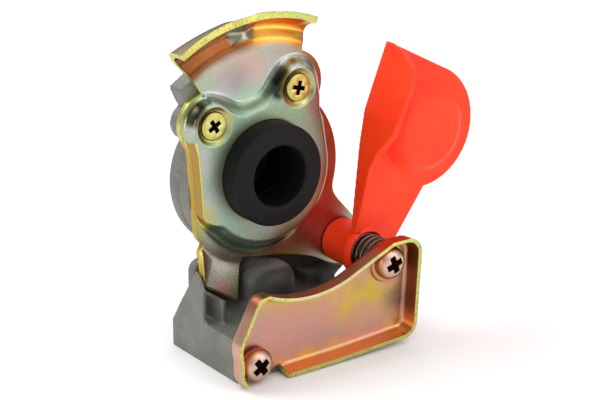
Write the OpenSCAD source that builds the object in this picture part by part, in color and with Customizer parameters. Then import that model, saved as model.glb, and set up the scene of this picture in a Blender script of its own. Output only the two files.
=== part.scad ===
// Air brake coupling head with a pressed guide plate and a swivelling dust cap.
// Millimetres. The origin is the centre of the air port's mouth on the flat base.
// +Z is up, and the seal looks along -Y. Angles in the front view run from +X towards +Z.

/* [Base and air port] */
// Height of the base block
base_h = 14; // [11:0.5:17]
// Reach of the base to the left of the port
base_left = 26; // [22:0.5:30]
// Reach of the base to the right of the port
base_right = 29; // [26:0.5:32]
// Reach of the base in front of the port
base_front = 27; // [25:0.5:30]
// Reach of the base behind the port
base_back = 11; // [10.5:0.5:14]
// Height of the base's rear face below the slope
base_rear_h = 9.5; // [7:0.5:10.5]
// Thickness of the base's side walls
side_wall_t = 1.4; // [1.2:0.1:1.6]
// Top of the side walls above the base plane
side_wall_top = 31; // [27:0.5:33]
// Top of the rear wall above the base plane
rear_wall_top = 31; // [28:0.5:33]
// Diameter of the column over the port
neck_d = 18.6; // [18:0.2:20]
// Bore of the threaded air port
port_d = 14.5; // [12:0.1:15]
// Depth of the threaded air port
port_depth = 15; // [12:0.5:20]
// Diameter of the passage between port and chamber
passage_d = 8; // [6:0.5:9]

/* [Head] */
// Height of the seal's axis above the base
seal_z = 61; // [59:0.5:66]
// Radius of the cast head
head_r = 26.4; // [25:0.1:27.5]
// Drop of the head's centre below the seal's axis
head_drop = 4; // [3:0.5:6]
// Depth of the cast head behind the guide plate
head_depth = 13; // [12:0.5:17]
// Depth of the air chamber behind the seal
chamber_depth = 9; // [8:0.5:10]

/* [Seal] */
// Outer diameter of the seal
seal_d = 34; // [32:0.2:35]
// Bore of the seal
seal_bore_d = 20; // [16:0.5:22]
// Height of the seal above the plateau
seal_proud = 8; // [6:0.5:9]
// Diameter of the seal's hidden flange
seal_flange_d = 36; // [35.4:0.1:36.4]
// Thickness of the seal's hidden flange
seal_flange_t = 3; // [2:0.25:3.5]

/* [Guide plate] */
// Sheet thickness of the guide plate
plate_t = 2.2; // [1.8:0.1:2.5]
// Distance of the plateau's face in front of the port's axis
plateau_front = 7; // [6:0.5:9]
// Height of the plateau above the plate's base level
plateau_h = 4; // [3:0.25:5]
// Radius of the plateau round the seal
plateau_r = 22.9; // [22.5:0.1:24.5]
// Width of the plateau's rounded shoulder
shoulder_w = 4.1; // [3:0.1:4.5]
// Radius of the plate's brim
brim_r = 30.2; // [29:0.1:32]
// Straight left edge of the plate, from the seal's axis
left_edge = 25.9; // [25:0.1:27]
// Radius at which the lip starts to bend forward
lip_root_r = 42; // [41:0.5:44]
// Bend radius of the lip
lip_bend_r = 8.7; // [7:0.1:10]
// Bend angle of the lip
lip_bend = 66; // [50:1:75]
// Extra width of the lip at its left end
lip_flick = 5; // [0:0.5:6]
// Right end of the lip in the front view
lip_start = 66.3; // [62:0.1:70]
// Left end of the lip in the front view
lip_end = 127; // [120:0.5:128]
// Right edge of the tongue in the front view
tongue_end = 255.4; // [250:0.2:260]
// Reach of the tongue's right corner below the seal's axis
tongue_drop = 43.6; // [42:0.2:45]
// Forward flare of the tongue's tip
tongue_flare = 1.6; // [0:0.1:3]
// Radius of the ear round the cap's pivot
ear_r = 9.2; // [9:0.1:11]
// Height of the stiffening bead in the lip
bead_h = 1.6; // [0.5:0.1:2]

/* [Guide plate screws] */
// Places of the two screws from the seal's axis, x and z
plate_screw_at = [[-19.7, 18.3], [12.8, 25.5]];
// Shank diameter of the plate screws
plate_screw_d = 5; // [4:0.5:5]
// Head diameter of the plate screws
plate_screw_head_d = 9.2; // [8:0.1:9.6]
// Length of the plate screws
plate_screw_l = 14; // [11:0.5:16]

/* [Cap pivot] */
// Pivot to the right of the seal's axis
pivot_x = 32.4; // [31:0.1:34]
// Pivot below the seal's axis
pivot_drop = 31.8; // [30:0.1:33]
// Shank diameter of both pan head screws
pan_screw_d = 6; // [5:0.5:6]
// Head diameter of both pan head screws
pan_head_d = 11.2; // [10.5:0.1:11.4]
// Head height of both pan head screws
pan_head_h = 3.6; // [3:0.1:4.2]
// Outer diameter of the spacer bush
bush_d = 9; // [8.4:0.1:9.6]
// Wire diameter of the spring
spring_wire_d = 1.1; // [0.9:0.05:1.2]
// Mean diameter of the spring
spring_d = 12; // [11.5:0.1:13]
// Turns of the spring
spring_turns = 4; // [2.5:0.5:4]
// Depth of the spring's seat in the cap's hub
spring_seat = 2.6; // [1:0.1:2.8]
// Depth of the pivot screw in its lug
pivot_screw_hold = 11; // [8:0.5:12]

/* [Cap] */
// Direction of the open cap in the front view
cap_angle = 59.5; // [55:0.5:65]
// Radius of the cap's disc
cap_r = 21; // [19.5:0.1:21.5]
// Wall thickness of the cap
cap_t = 2.2; // [1.8:0.1:2.6]
// Gap between the closed cap's rim and the seal
cap_gap = 0.9; // [0.6:0.1:1.5]
// Foot radius of the cap's dome
dome_foot_r = 17; // [16:0.1:18]
// Top radius of the cap's dome
dome_top_r = 13.6; // [12:0.1:14.5]
// Height of the cap's dome over its flange
dome_h = 5; // [4.5:0.1:5.5]
// Radius of the cap's hub
hub_r = 7.6; // [7.4:0.1:8.4]
// Height of the hub over the arm
hub_proud = 0.6; // [0.4:0.1:2]
// Height of the thumb wing over the cap's back
wing_h = 18; // [12:0.5:20]

/* [Coding plate] */
// Sheet thickness of the coding plate
tray_t = 1.8; // [1.5:0.1:2]
// Right side of the coding plate, from the pivot
tray_right_reach = 9.7; // [8.5:0.1:10]
// Top of the coding plate over the pivot
tray_top_reach = 7.3; // [7.2:0.1:8]
// Forward reach of the coding plate's bent edge over its face
flange_h = 5.6; // [4:0.1:7]
// Bend angle of the coding plate's edge
flange_bend = 80; // [70:1:88]
// Bend radius of the coding plate's edge, on its face
flange_bend_r = 1.4; // [1:0.1:2]
// Bottom of the coding plate above the base plane
tray_bottom = 1.6; // [1.4:0.1:3]
// Place of the left screw, x from the port and z from the base
tray_screw_at = [-20.7, 6.6];
// Depth of the left screw in the base
tray_screw_hold = 10; // [8:0.5:12]

/* [Hidden] */
$fn = 48;

// Clearances and overlaps
seat_gap = 0.05;
slide_gap = 0.3;
bush_play = 0.06;
hole_gap = 0.15;
brim_gap = 0.5;
cut_over = 1;
weld = 0.4;

// Levels along Y, from the back of the guide plate forward
plateau_y = -plateau_front;
plate_base_y = plateau_y + plateau_h;
plate_back_y = plate_base_y + plate_t;
head_front_y = plate_back_y + seat_gap;
pad_front_y = plateau_y + plate_t + seat_gap;
seal_seat_y = pad_front_y + seal_flange_t + seat_gap;
seal_front_y = plateau_y - seal_proud;
cap_back_y = seal_front_y - cap_gap;
hub_back_y = plate_base_y - slide_gap;
hub_front_y = cap_back_y - cap_t - hub_proud;
tray_back_y = -base_front - seat_gap;
tray_front_y = tray_back_y - tray_t;

// Places in the front view, in x and z from the seal's axis
pivot = [pivot_x, -pivot_drop];
plate_centre = [0.5, -2.5];
crest_centre = plate_centre + [0.3, 1.5];
tray_screw = [tray_screw_at.x, tray_screw_at.y - seal_z];
base_top = base_h - seal_z;
tray_low = tray_bottom - seal_z;
tray_right = pivot.x + tray_right_reach;
tray_top = pivot.y + tray_top_reach;
cap_reach = norm(pivot);

// Sizes that several pieces share
boss_r = 6.6;
boss_foot_r = 9.8;
boss_rise = 1.2;
brim_low_z = seal_z + plate_centre.y - brim_r;
sink_depth = (plate_screw_head_d - plate_screw_d) / 2;
pan_seat_y = tray_front_y - boss_rise - seat_gap;
pan_hole_r = pan_screw_d / 2 + hole_gap;
pan_thread_r = pan_screw_d / 2 + seat_gap;

// Front view shapes, drawn in x and z from the seal's axis
module front_view(back_y, depth) {
    translate([0, back_y, seal_z])
        rotate([90, 0, 0])
            linear_extrude(depth)
                children();
}

module rod(at, r, back_y, depth, r_front = undef) {
    translate([at.x, back_y, seal_z + at.y])
        rotate([90, 0, 0])
            cylinder(r1 = r, r2 = is_undef(r_front) ? r : r_front, h = depth);
}

module bar_2d(a, b, w) {
    d = b - a;
    translate(a)
        rotate(atan2(d.y, d.x))
            translate([0, -w / 2])
                square([norm(d), w]);
}

function arc_points(centre, r, from, to, steps) =
    [for (i = [0:steps])
        let (a = from + (to - from) * i / steps)
        centre + r * [cos(a), sin(a)]];

// Body
neck_r = neck_d / 2;
column_top = brim_low_z - brim_gap;
column_at = [2.2, -3.4, base_h / 2];
riser_wall = 3;
riser_r = passage_d / 2 + riser_wall;
riser_y = head_front_y + riser_r + slide_gap;
rear_wall_t = 4;
wall_peak_y = -4;
wall_front_y = -8;
pad_inset = 1.8;
screw_boss_r = boss_r - 1.6;
lug_r = 8.4;

// Sloping rear face of the base; the side wall's own slope stands a little proud of it
function slope_y(z) =
    base_back + (wall_peak_y - base_back) * (z - base_rear_h) / (side_wall_top - base_rear_h);

module side_profile(w, points) {
    rotate([90, 0, 90])
        linear_extrude(w)
            polygon(points);
}

module base_block() {
    translate([-base_left, 0, 0])
        side_profile(base_left + base_right, [[-base_front, 0],
                                              [base_back, 0],
                                              [base_back, base_rear_h],
                                              [slope_y(base_h), base_h],
                                              [-base_front, base_h]]);
}

module side_wall() {
    front_fall = 5.7;
    proud = 0.2;
    low = base_h - weld;
    translate([-base_left, 0, 0])
        side_profile(side_wall_t, [[wall_front_y, low],
                                   [slope_y(low) + proud, low],
                                   [wall_peak_y + proud, side_wall_top],
                                   [wall_front_y, side_wall_top - front_fall]]);
}

// Rear wall between the side wall and the riser, with a round upper corner
module rear_wall() {
    corner_r = 4;
    inset = 3.4;
    rise = rear_wall_top - base_h + weld;
    width = base_left - inset;
    translate([-width, riser_y, base_h - weld])
        rotate([90, 0, 0])
            linear_extrude(rear_wall_t) {
                translate([corner_r, rise - corner_r])
                    circle(corner_r);
                square([width, rise - corner_r]);
                translate([corner_r, 0])
                    square([width - corner_r, rise]);
            }
}

// Thin rib in the recess between the side wall and the column
module recess_rib() {
    rib_w = 1.6;
    rib_h = 8.2;
    rib_gap = 3.5;
    rib_lead = 4;
    front_y = wall_front_y - rib_lead;
    translate([-base_left + side_wall_t + rib_gap, front_y, base_h - weld])
        cube([rib_w, riser_y - rear_wall_t / 2 - front_y, rib_h]);
}

// A cylinder with its far edge rounded
module rounded_cylinder(r, h, edge) {
    edge_steps = 6;
    rotate_extrude()
        polygon(concat([[0, 0], [r, 0]],
                       arc_points([r - edge, h - edge], edge, 0, 90, edge_steps),
                       [[0, h]]));
}

module head_casting() {
    edge = 3;
    groove_w = 1.6;
    groove_d = 1.1;
    groove_at = 5.5;
    translate([0, head_front_y, seal_z - head_drop])
        rotate([-90, 0, 0])
            difference() {
                rounded_cylinder(head_r, head_depth, edge);
                translate([0, 0, groove_at])
                    rotate_extrude()
                        translate([head_r - groove_d, 0])
                            square([groove_d + cut_over, groove_w]);
            }
}

// Bosses behind both plate screws, the webs between them and the block at the upper left
module backing() {
    backing_t = 7;
    backing_y = head_front_y + backing_t;
    left = plate_screw_at[0];
    block = [[-2.5, 15.5], [-8.6, 11.6], [-6.2, 6.2], [0, 0], [9, 3], [10, 11]];
    lump_at = [-2.6, -0.6];
    lump_r = 6;
    web_w = screw_boss_r * 2 - weld;
    for (p = plate_screw_at)
        rod(p, screw_boss_r, backing_y, backing_y - pad_front_y);
    front_view(backing_y, backing_t) {
        bar_2d(left, plate_screw_at[1], web_w);
        for (p = plate_screw_at)
            bar_2d([0, 0], p, web_w);
        polygon([for (q = block) left + q]);
    }
    rod(left + lump_at, lump_r, backing_y, backing_t);
}

// Lug for the cap's pivot, its webs to the head, the wall below them and the leg down to the base
module pivot_lug() {
    lug_depth = 12;
    web_t = 7;
    web_w = 12;
    leg_w = 9;
    leg_lead = 1;
    ear_gap = 1;
    leg_reach = 3.2;
    mark_r = 3.4;
    mark_rise = 1;
    back_y = head_front_y + lug_depth;
    leg_front_y = plate_base_y + leg_lead;
    under_ear = pivot.y - ear_r - ear_gap;
    inner_x = base_right - leg_w;
    rod(pivot, lug_r, back_y, lug_depth);
    front_view(back_y, web_t) {
        bar_2d([0, pivot.y], pivot, web_w);
        bar_2d([0, -head_drop], pivot, web_w);
        polygon([[0, pivot.y],
                 [pivot.x + lug_r, pivot.y],
                 [base_right, base_top - weld],
                 [0, base_top - weld]]);
    }
    // Below the ear the leg comes forward past the ear's plane
    front_view(back_y, back_y - leg_front_y)
        polygon([[inner_x, under_ear],
                 [pivot.x + leg_reach, under_ear],
                 [base_right, base_top - weld],
                 [inner_x, base_top - weld]]);
    rod([base_right - mark_r / 2, under_ear - mark_r], mark_r, leg_front_y + weld, weld + mark_rise);
}

// Column over the port with a rounded top, and the riser behind the guide plate
module neck() {
    flare = 2.5;
    shoulder = 6.5;
    translate(column_at) {
        rounded_cylinder(neck_r, column_top - column_at.z, shoulder);
        translate([0, 0, base_h - weld - column_at.z])
            cylinder(r1 = neck_r + flare, r2 = neck_r, h = flare);
    }
    translate([0, riser_y, base_h - weld])
        cylinder(r = riser_r, h = seal_z - head_drop - base_h);
}

// Port, chamber behind the seal and the passage between them
module air_way() {
    relief_d = 9;
    relief_h = 5;
    passage_low = port_depth + relief_h - passage_d / 2;
    rod([0, 0], seal_flange_d / 2 + hole_gap, seal_seat_y, seal_seat_y - pad_front_y + cut_over);
    rod([0, 0], seal_bore_d / 2, seal_seat_y + chamber_depth, chamber_depth + cut_over);
    translate([0, 0, -cut_over])
        cylinder(d = port_d, h = port_depth + cut_over);
    translate([0, 0, port_depth - weld])
        cylinder(d = relief_d, h = relief_h + weld);
    translate([0, riser_y, passage_low])
        cylinder(d = passage_d, h = seal_z - head_drop - passage_low);
}

module body() {
    pad_y = head_front_y + weld;
    color([0.55, 0.55, 0.53])
        difference() {
            union() {
                base_block();
                side_wall();
                rear_wall();
                recess_rib();
                neck();
                head_casting();
                rod(crest_centre, plateau_r - pad_inset, pad_y, pad_y - pad_front_y);
                backing();
                pivot_lug();
            }
            air_way();
            // Threads of the fixings
            for (p = plate_screw_at)
                rod(p, plate_screw_d / 2 + seat_gap, plateau_y + plate_screw_l + cut_over,
                    plate_screw_l + cut_over * 2);
            rod(pivot, pan_thread_r, head_front_y + pivot_screw_hold + cut_over,
                pivot_screw_hold + cut_over * 2);
            rod(tray_screw, pan_thread_r, tray_screw_hold + cut_over - base_front,
                tray_screw_hold + cut_over * 2);
        }
}

// Guide plate: a formed sheet on a polar grid round the seal's axis
boss_edge_r = [10.4, 11.8];
blend_crest = 7;
blend_edge = 9;
edge_min = 0.7;
shoulder_min = 2.2;
tongue_start = 225.5;
tongue_left_drop = 35.2;
tongue_lean = 2.4;
tongue_root_r = 32.5;
grid_gap = 0.8;
far = 1000;
hole_grid_r = seal_d / 2 - 1.5;
bead_dir = (lip_start + lip_end) / 2 + 1;
bead_half = 5;
lip_unbend = 18;
strip_half = 60;
web_start = [-5.9, -29.8];
web_bend = [14.2, -33];
blend_web = 2.4;

left_top = [-left_edge, 0];
left_low = [tongue_lean - left_edge, -tongue_left_drop];
tongue_corner = [-tongue_drop / tan(tongue_end - 180), -tongue_drop];

// Distance from the axis to the far side of a circle, seen along an angle
function circle_reach(c, r, a) =
    let (turn = a - atan2(c.y, c.x), d = norm(c), s = d * sin(turn), q = d * cos(turn))
    abs(s) < r && (q > 0 || d < r) ? q + sqrt(r * r - s * s) : 0;

function soft_max(a, b, k) =
    let (h = max(k - abs(a - b), 0) / k)
    max(a, b) + h * h * k / 4;

// Far side of a strip of constant width from the axis to a round end
function strip_reach(c, r, a) =
    let (d = abs((a - atan2(c.y, c.x) + 540) % 360 - 180))
    d > strip_half ? 0 : d < atan(r / norm(c)) ? circle_reach(c, r, a) : r / sin(d);

// Distance from the axis to the line through two points, seen along an angle
function line_reach(p, q, a) =
    let (n = [p.y - q.y, q.x - p.x], across = [cos(a), sin(a)] * n)
    (p * n) * across > 0 ? (p * n) / across : far;

// Distance to the line that touches two circles on one side, between its touching points
function tangent_reach(c, r, d, s, side, a) =
    let (u = d - c,
         n = atan2(u.y, u.x) + side * acos((r - s) / norm(u)),
         p = c + r * [cos(n), sin(n)],
         q = d + s * [cos(n), sin(n)],
         ends = [for (e = [p, q]) (atan2(e.y, e.x) + 360) % 360])
    a > min(ends) && a < max(ends) ? line_reach(p, q, a) : 0;

// Round middle with both bosses: straight on the outer sides, a soft dip between the bosses
function main_and_bosses(c, r, boss, a) =
    max(soft_max(circle_reach(c, r, a),
                 max([for (p = plate_screw_at) strip_reach(p, boss, a)]), blend_crest),
        tangent_reach(c, r, plate_screw_at[0], boss, 1, a),
        tangent_reach(c, r, plate_screw_at[1], boss, -1, a));

function crest_r(a) = main_and_bosses(crest_centre, plateau_r, boss_r, a);

function foot_r(a) = main_and_bosses(plate_centre, plateau_r + shoulder_w, boss_foot_r, a);

function left_limit(a) = a > 100 && a < 270 ? line_reach(left_top, left_low, a) : far;

// Lower edge from the tongue to the ear: two straight lines with a soft bend, the second touching the ear
ear_turn = asin(ear_r / norm(pivot));
ear_side = atan2(pivot.y, pivot.x) + 360 - ear_turn;
ear_touch = norm(pivot) * cos(ear_turn) * [cos(ear_side), sin(ear_side)];
function web_reach(a) =
    soft_max(line_reach(web_start, web_bend, a), line_reach(web_bend, ear_touch, a), blend_web);

function edge_r(a) =
    a >= lip_start && a <= lip_end ? lip_root_r :
    a >= tongue_start && a <= tongue_end ? tongue_root_r :
    a > tongue_end && a < ear_side ? web_reach(a) :
    max(soft_max(min(circle_reach(plate_centre, brim_r, a), left_limit(a)),
                 strip_reach(pivot, ear_r, a), blend_edge),
        strip_reach(plate_screw_at[0], boss_edge_r[0], a),
        strip_reach(plate_screw_at[1], boss_edge_r[1], a));

// The tongue ends on a straight slanted line between its two corners
function tongue_r(a) = min(left_limit(a), line_reach(left_low, tongue_corner, a));

// Rounded S shape of the shoulder: share of the width and share of the height
shoulder_steps = 6;
shoulder_ease = 0.05;
shoulder_s = [for (i = [0:shoulder_steps])
    let (q = i / shoulder_steps)
    [q + shoulder_ease * sin(360 * q), (1 - cos(180 * q)) / 2]];

// One ray of the grid: radius and depth behind the plateau, from the hole to the edge
lip_steps = 6;
brim_steps = 2;
function ray(a) =
    let (edge = edge_r(a),
         foot = min(foot_r(a), edge - edge_min),
         crest = min(crest_r(a), foot - shoulder_min),
         flat = [[hole_grid_r, 0], [crest, 0]],
         shoulder = [for (i = [1:shoulder_steps])
             [crest + (foot - crest) * shoulder_s[i].x, plateau_h * shoulder_s[i].y]],
         brim = [for (i = [1:brim_steps]) [foot + (edge - foot) * i / brim_steps, plateau_h]])
    in_extra(a) ? concat(flat, shoulder, brim, extra_ray(a))
                : concat(flat, shoulder, brim, [for (i = [1:lip_steps]) brim[brim_steps - 1]]);

function bead(a, i) =
    let (d = abs(a - bead_dir) / bead_half)
    d < 1 ? bead_h * pow(cos(90 * d), 2) * sin(180 * i / lip_steps) : 0;

// Beyond the brim: the tongue flares forward a little, the lip bends forward and widens to the left
function extra_ray(a) =
    a >= tongue_start && a <= tongue_end
    ? [for (i = [1:lip_steps])
        let (q = i / lip_steps)
        [tongue_root_r + (tongue_r(a) - tongue_root_r) * q, plateau_h - tongue_flare * q * q]]
    : let (q = pow((a - lip_start) / (lip_end - lip_start), 4),
           turn = lip_bend - lip_unbend * q,
           r = (lip_bend_r * lip_bend * PI / 180 + lip_flick * q) / (turn * PI / 180))
      [for (i = [1:lip_steps])
        let (b = turn * i / lip_steps, rise = bead(a, i))
        [lip_root_r + (r - rise) * sin(b), plateau_h - r * (1 - cos(b)) - rise * cos(b)]];

// The back of the sheet lies one thickness behind the front, square to its slope
shoulder_lean = 50;
function ray_back(front) =
    let (n = len(front) - 1)
    [for (i = [0:n])
        let (before = front[max(i - 1, 0)],
             after = front[min(i + 1, n)],
             slope = atan2(after.y - before.y, after.x - before.x))
        i == 0 ? front[i] + [0, plate_t] :
        i < shoulder_steps + 2 ? front[i] + plate_t * [-tan(shoulder_lean / 2), 1] :
        front[i] + plate_t * [-sin(slope), cos(slope)]];

plate_segments = [[lip_start, lip_end, 18],
                  [lip_end + grid_gap, tongue_start - grid_gap, 24],
                  [tongue_start, tongue_end, 9],
                  [tongue_end + grid_gap, 360 + lip_start - grid_gap, 44]];
plate_rays = [for (s = plate_segments) for (i = [0:s[2]]) s[0] + (s[1] - s[0]) * i / s[2]];
ring_count = 2 + shoulder_steps + brim_steps + lip_steps;
base_rings = ring_count - lip_steps;
cell_limit = 20;

function in_extra(a) = (a >= lip_start && a <= lip_end) || (a >= tongue_start && a <= tongue_end);

module formed_sheet() {
    n = len(plate_rays);
    fronts = [for (a = plate_rays) ray(a % 360)];
    backs = [for (f = fronts) ray_back(f)];
    function place(a, p) = [p.x * cos(a), plateau_y + p.y, seal_z + p.x * sin(a)];
    points = [for (side = [fronts, backs]) for (i = [0:n - 1]) for (k = [0:ring_count - 1])
        place(plate_rays[i], side[i][k])];
    function f(i, k) = (i % n) * ring_count + k;
    function b(i, k) = n * ring_count + f(i, k);
    // A cell is one square of the grid: the outer cells exist only on the lip and the tongue
    function lip_or_tongue(i) =
        in_extra(plate_rays[i % n]) && in_extra(plate_rays[(i + 1) % n])
        && abs(plate_rays[(i + 1) % n] - plate_rays[i % n]) < cell_limit;
    function has(i, k) = k >= 0 && (k < base_rings - 1 || (k < ring_count - 1 && lip_or_tongue(i)));
    function quad(p, q, r, s) = [[p, q, r], [p, r, s]];
    cells = [for (i = [0:n - 1]) for (k = [0:ring_count - 2]) if (has(i, k)) [i, k]];
    faces = [for (c = cells)
        let (i = c.x,
             k = c.y,
             skin = concat(quad(f(i, k), f(i + 1, k), f(i + 1, k + 1), f(i, k + 1)),
                           quad(b(i, k), b(i, k + 1), b(i + 1, k + 1), b(i + 1, k))),
             hole = k > 0 ? [] : quad(f(i, 0), b(i, 0), b(i + 1, 0), f(i + 1, 0)),
             rim = has(i, k + 1) ? []
                 : quad(f(i, k + 1), f(i + 1, k + 1), b(i + 1, k + 1), b(i, k + 1)),
             start = has(i + n - 1, k) ? [] : quad(f(i, k), f(i, k + 1), b(i, k + 1), b(i, k)),
             end = has(i + 1, k) ? []
                 : quad(f(i + 1, k), b(i + 1, k), b(i + 1, k + 1), f(i + 1, k + 1)))
        each concat(skin, hole, rim, start, end)];
    polyhedron(points, faces, convexity = 8);
}

module guide_plate() {
    through = plate_t * 2 + plateau_h;
    color([0.78, 0.76, 0.55])
        difference() {
            formed_sheet();
            rod([0, 0], seal_d / 2 + hole_gap, plate_back_y, through);
            for (p = plate_screw_at) {
                rod(p, plate_screw_d / 2 + hole_gap, plate_back_y, through);
                rod(p, plate_screw_d / 2 + hole_gap, plateau_y + sink_depth, sink_depth + hole_gap,
                    plate_screw_head_d / 2 + hole_gap * 2);
            }
            rod(pivot, pan_hole_r, plate_back_y + cut_over, plate_t + cut_over * 2);
        }
}

// Seal
module seal_ring() {
    r = seal_d / 2;
    bore = seal_bore_d / 2;
    front = seal_proud + plate_t;
    lip_fall = 0.9;
    edge = 1;
    color([0.12, 0.11, 0.11])
        translate([0, pad_front_y - seat_gap, seal_z])
            rotate([90, 0, 0])
                rotate_extrude($fn = 96)
                    polygon([[bore, -seal_flange_t],
                             [seal_flange_d / 2, -seal_flange_t],
                             [seal_flange_d / 2, -seat_gap],
                             [r, -seat_gap],
                             [r, front - edge - lip_fall],
                             [r - edge, front - lip_fall],
                             [bore + edge, front],
                             [bore, front - edge]]);
}

// Screws
module cross_recess(size, depth) {
    arm_w = size * 0.28;
    for (turn = [0, 90])
        rotate(turn)
            translate([-size / 2, -arm_w / 2, -depth])
                cube([size, arm_w, depth + cut_over]);
}

module guide_plate_screws() {
    recess_depth = 1.8;
    recess_turn = [30, -15];
    color([0.78, 0.75, 0.4])
        for (i = [0:len(plate_screw_at) - 1])
            translate([plate_screw_at[i].x, plateau_y, seal_z + plate_screw_at[i].y])
                rotate([90, 0, 0])
                    difference() {
                        union() {
                            translate([0, 0, -plate_screw_l])
                                cylinder(d = plate_screw_d, h = plate_screw_l);
                            translate([0, 0, -sink_depth])
                                cylinder(d1 = plate_screw_d, d2 = plate_screw_head_d, h = sink_depth);
                        }
                        rotate(recess_turn[i])
                            cross_recess(plate_screw_d, recess_depth);
                    }
}

module pan_screw(length, turn) {
    head_r = pan_head_d / 2;
    crown = [[1, 0.33], [0.86, 0.73], [0.5, 1]];
    recess_d = pan_screw_d * 1.15;
    recess_depth = 2.4;
    difference() {
        union() {
            translate([0, 0, -length])
                cylinder(d = pan_screw_d, h = length + weld);
            cylinder(r = head_r, h = pan_head_h * crown[0].y);
            for (i = [1:len(crown) - 1])
                translate([0, 0, pan_head_h * crown[i - 1].y])
                    cylinder(r1 = head_r * crown[i - 1].x, r2 = head_r * crown[i].x,
                             h = pan_head_h * (crown[i].y - crown[i - 1].y));
        }
        translate([0, 0, pan_head_h])
            rotate(turn)
                cross_recess(recess_d, recess_depth);
    }
}

module coding_plate_screw() {
    turn = 35;
    color([0.75, 0.6, 0.5])
        translate([tray_screw_at.x, pan_seat_y, tray_screw_at.y])
            rotate([90, 0, 0])
                pan_screw(tray_screw_hold - base_front - pan_seat_y, turn);
}

module cap_pivot_screw() {
    turn = 20;
    color([0.75, 0.6, 0.5])
        translate([pivot.x, pan_seat_y, seal_z + pivot.y])
            rotate([90, 0, 0])
                pan_screw(head_front_y + pivot_screw_hold - pan_seat_y, turn);
}

// Bush and spring on the pivot screw
module pivot_bush() {
    length = plate_base_y - tray_back_y - seat_gap * 2;
    color([0.7, 0.7, 0.7])
        difference() {
            rod(pivot, bush_d / 2, plate_base_y - seat_gap, length);
            rod(pivot, pan_hole_r, plate_base_y + cut_over, length + cut_over * 2);
        }
}

module cap_spring() {
    wire_r = spring_wire_d / 2;
    coil_r = spring_d / 2;
    start_y = hub_front_y + spring_seat - slide_gap - wire_r;
    end_y = tray_back_y + seat_gap + wire_r;
    turn_steps = 20;
    sides = 8;
    steps = spring_turns * turn_steps;
    function lie(i) = start_y + (end_y - start_y) * i / steps;
    points = [for (i = [0:steps]) for (s = [0:sides - 1])
        let (a = 360 * i / turn_steps, w = 360 * s / sides, r = coil_r + wire_r * cos(w))
        [pivot.x + r * cos(a), lie(i) + wire_r * sin(w), seal_z + pivot.y + r * sin(a)]];
    rings = [for (i = [0:steps - 1]) for (s = [0:sides - 1])
        let (t = (s + 1) % sides, here = i * sides, there = here + sides)
        [here + s, here + t, there + t, there + s]];
    caps = [[for (s = [sides - 1:-1:0]) s], [for (s = [0:sides - 1]) steps * sides + s]];
    color([0.7, 0.68, 0.65])
        polyhedron(points, concat(rings, caps), convexity = 10);
}

// Cap: drawn along its own arm, from the pivot towards the disc
wing_root = [[4, 8.2], [31, 20.5], [42, 24.7], [cap_reach + cap_r - 1.2, 28.2]];
arm_right = [[0, -8.6], [cap_reach - 17, -11.5]];
hub_collar = 1.2;

// Top edge of the wing along the arm: distance from the pivot, height over the cap's back
wing_edge = [[65.2, 3], [64.3, 8.2], [60.1, 16.2], [55.9, 18], [42, 17.5], [38, 16.2], [31, 9.9], [25, 6.6],
             [4, 2.8]];

module cap_outline() {
    last = len(wing_root) - 1;
    circle(hub_r + hub_collar);
    translate([cap_reach, 0])
        circle(cap_r, $fn = 96);
    polygon(concat(arm_right,
                   [[cap_reach, 0], [cap_reach + cap_r - seat_gap, 0]],
                   [for (i = [last:-1:0]) wing_root[i]],
                   [[0, hub_r]]));
}

// Right-hand side of the wing's wall at one root point
function wing_inner(i) =
    let (d = wing_root[min(i + 1, len(wing_root) - 1)] - wing_root[max(i - 1, 0)])
    wing_root[i] + cap_t * [d.y, -d.x] / norm(d);

// Thumb wing: its plan, cut to the line of its top edge
module wing() {
    last = len(wing_root) - 1;
    reach = cap_r * 2;
    intersection() {
        linear_extrude(wing_h)
            polygon(concat(wing_root, [for (i = [last:-1:0]) wing_inner(i)]));
        translate([0, reach, 0])
            rotate([90, 0, 0])
                linear_extrude(reach * 2)
                    polygon(concat([[0, 0], [cap_reach + cap_r, 0]], wing_edge, [[0, cap_t]]));
    }
}

module cap() {
    draft = 0.5;
    hub_back = cap_back_y - hub_back_y;
    hub_h = hub_back_y - hub_front_y;
    color([0.95, 0.22, 0.1])
        translate([pivot.x, cap_back_y, seal_z + pivot.y])
            rotate([90, 0, 0])
                rotate(cap_angle)
                    difference() {
                        union() {
                            linear_extrude(cap_t)
                                cap_outline();
                            translate([0, 0, hub_back])
                                cylinder(r = hub_r, h = hub_h);
                            translate([cap_reach, 0, cap_t - weld])
                                cylinder(r1 = dome_foot_r, r2 = dome_top_r, h = dome_h + weld, $fn = 96);
                            wing();
                        }
                        translate([cap_reach, 0, -cut_over])
                            cylinder(r1 = dome_foot_r - cap_t + draft, r2 = dome_top_r - cap_t + draft,
                                     h = dome_h + cut_over, $fn = 96);
                        translate([0, 0, hub_back - cut_over])
                            cylinder(r = bush_d / 2 + bush_play, h = hub_h + cut_over * 2);
                        translate([0, 0, hub_back + hub_h - spring_seat])
                            cylinder(r = (spring_d + spring_wire_d) / 2 + slide_gap,
                                     h = spring_seat + cut_over);
                    }
}

// Coding plate: a tray whose outline is lines and arcs, with its edge bent forward
tray_corner_r = 5;
tray_low_corner_r = 4.6;
tray_low_corner_at = [6, 6.2];
tray_scoop_at = [-1, 6.2];
tray_scoop_r = 41.2;
tray_crest_at = [31.6, -24.5];
tray_shoulder_at = [-18.4, -35.45];
tray_shoulder_r = 4;
tray_side_at = [-19.5, -48];
tray_side_r = 8.8;
tray_foot_at = [-21.5, tray_low + 4.5];
tray_foot_r = 6.4;
tray_floor = [[3.6, -0.8], [-0.8, -1.3], [-4, -1.4]];
tray_gap_right = -10.2;
tray_sag = 0.4;
pair_step = 0.05;
tray_middle = [0, -49];

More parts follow.
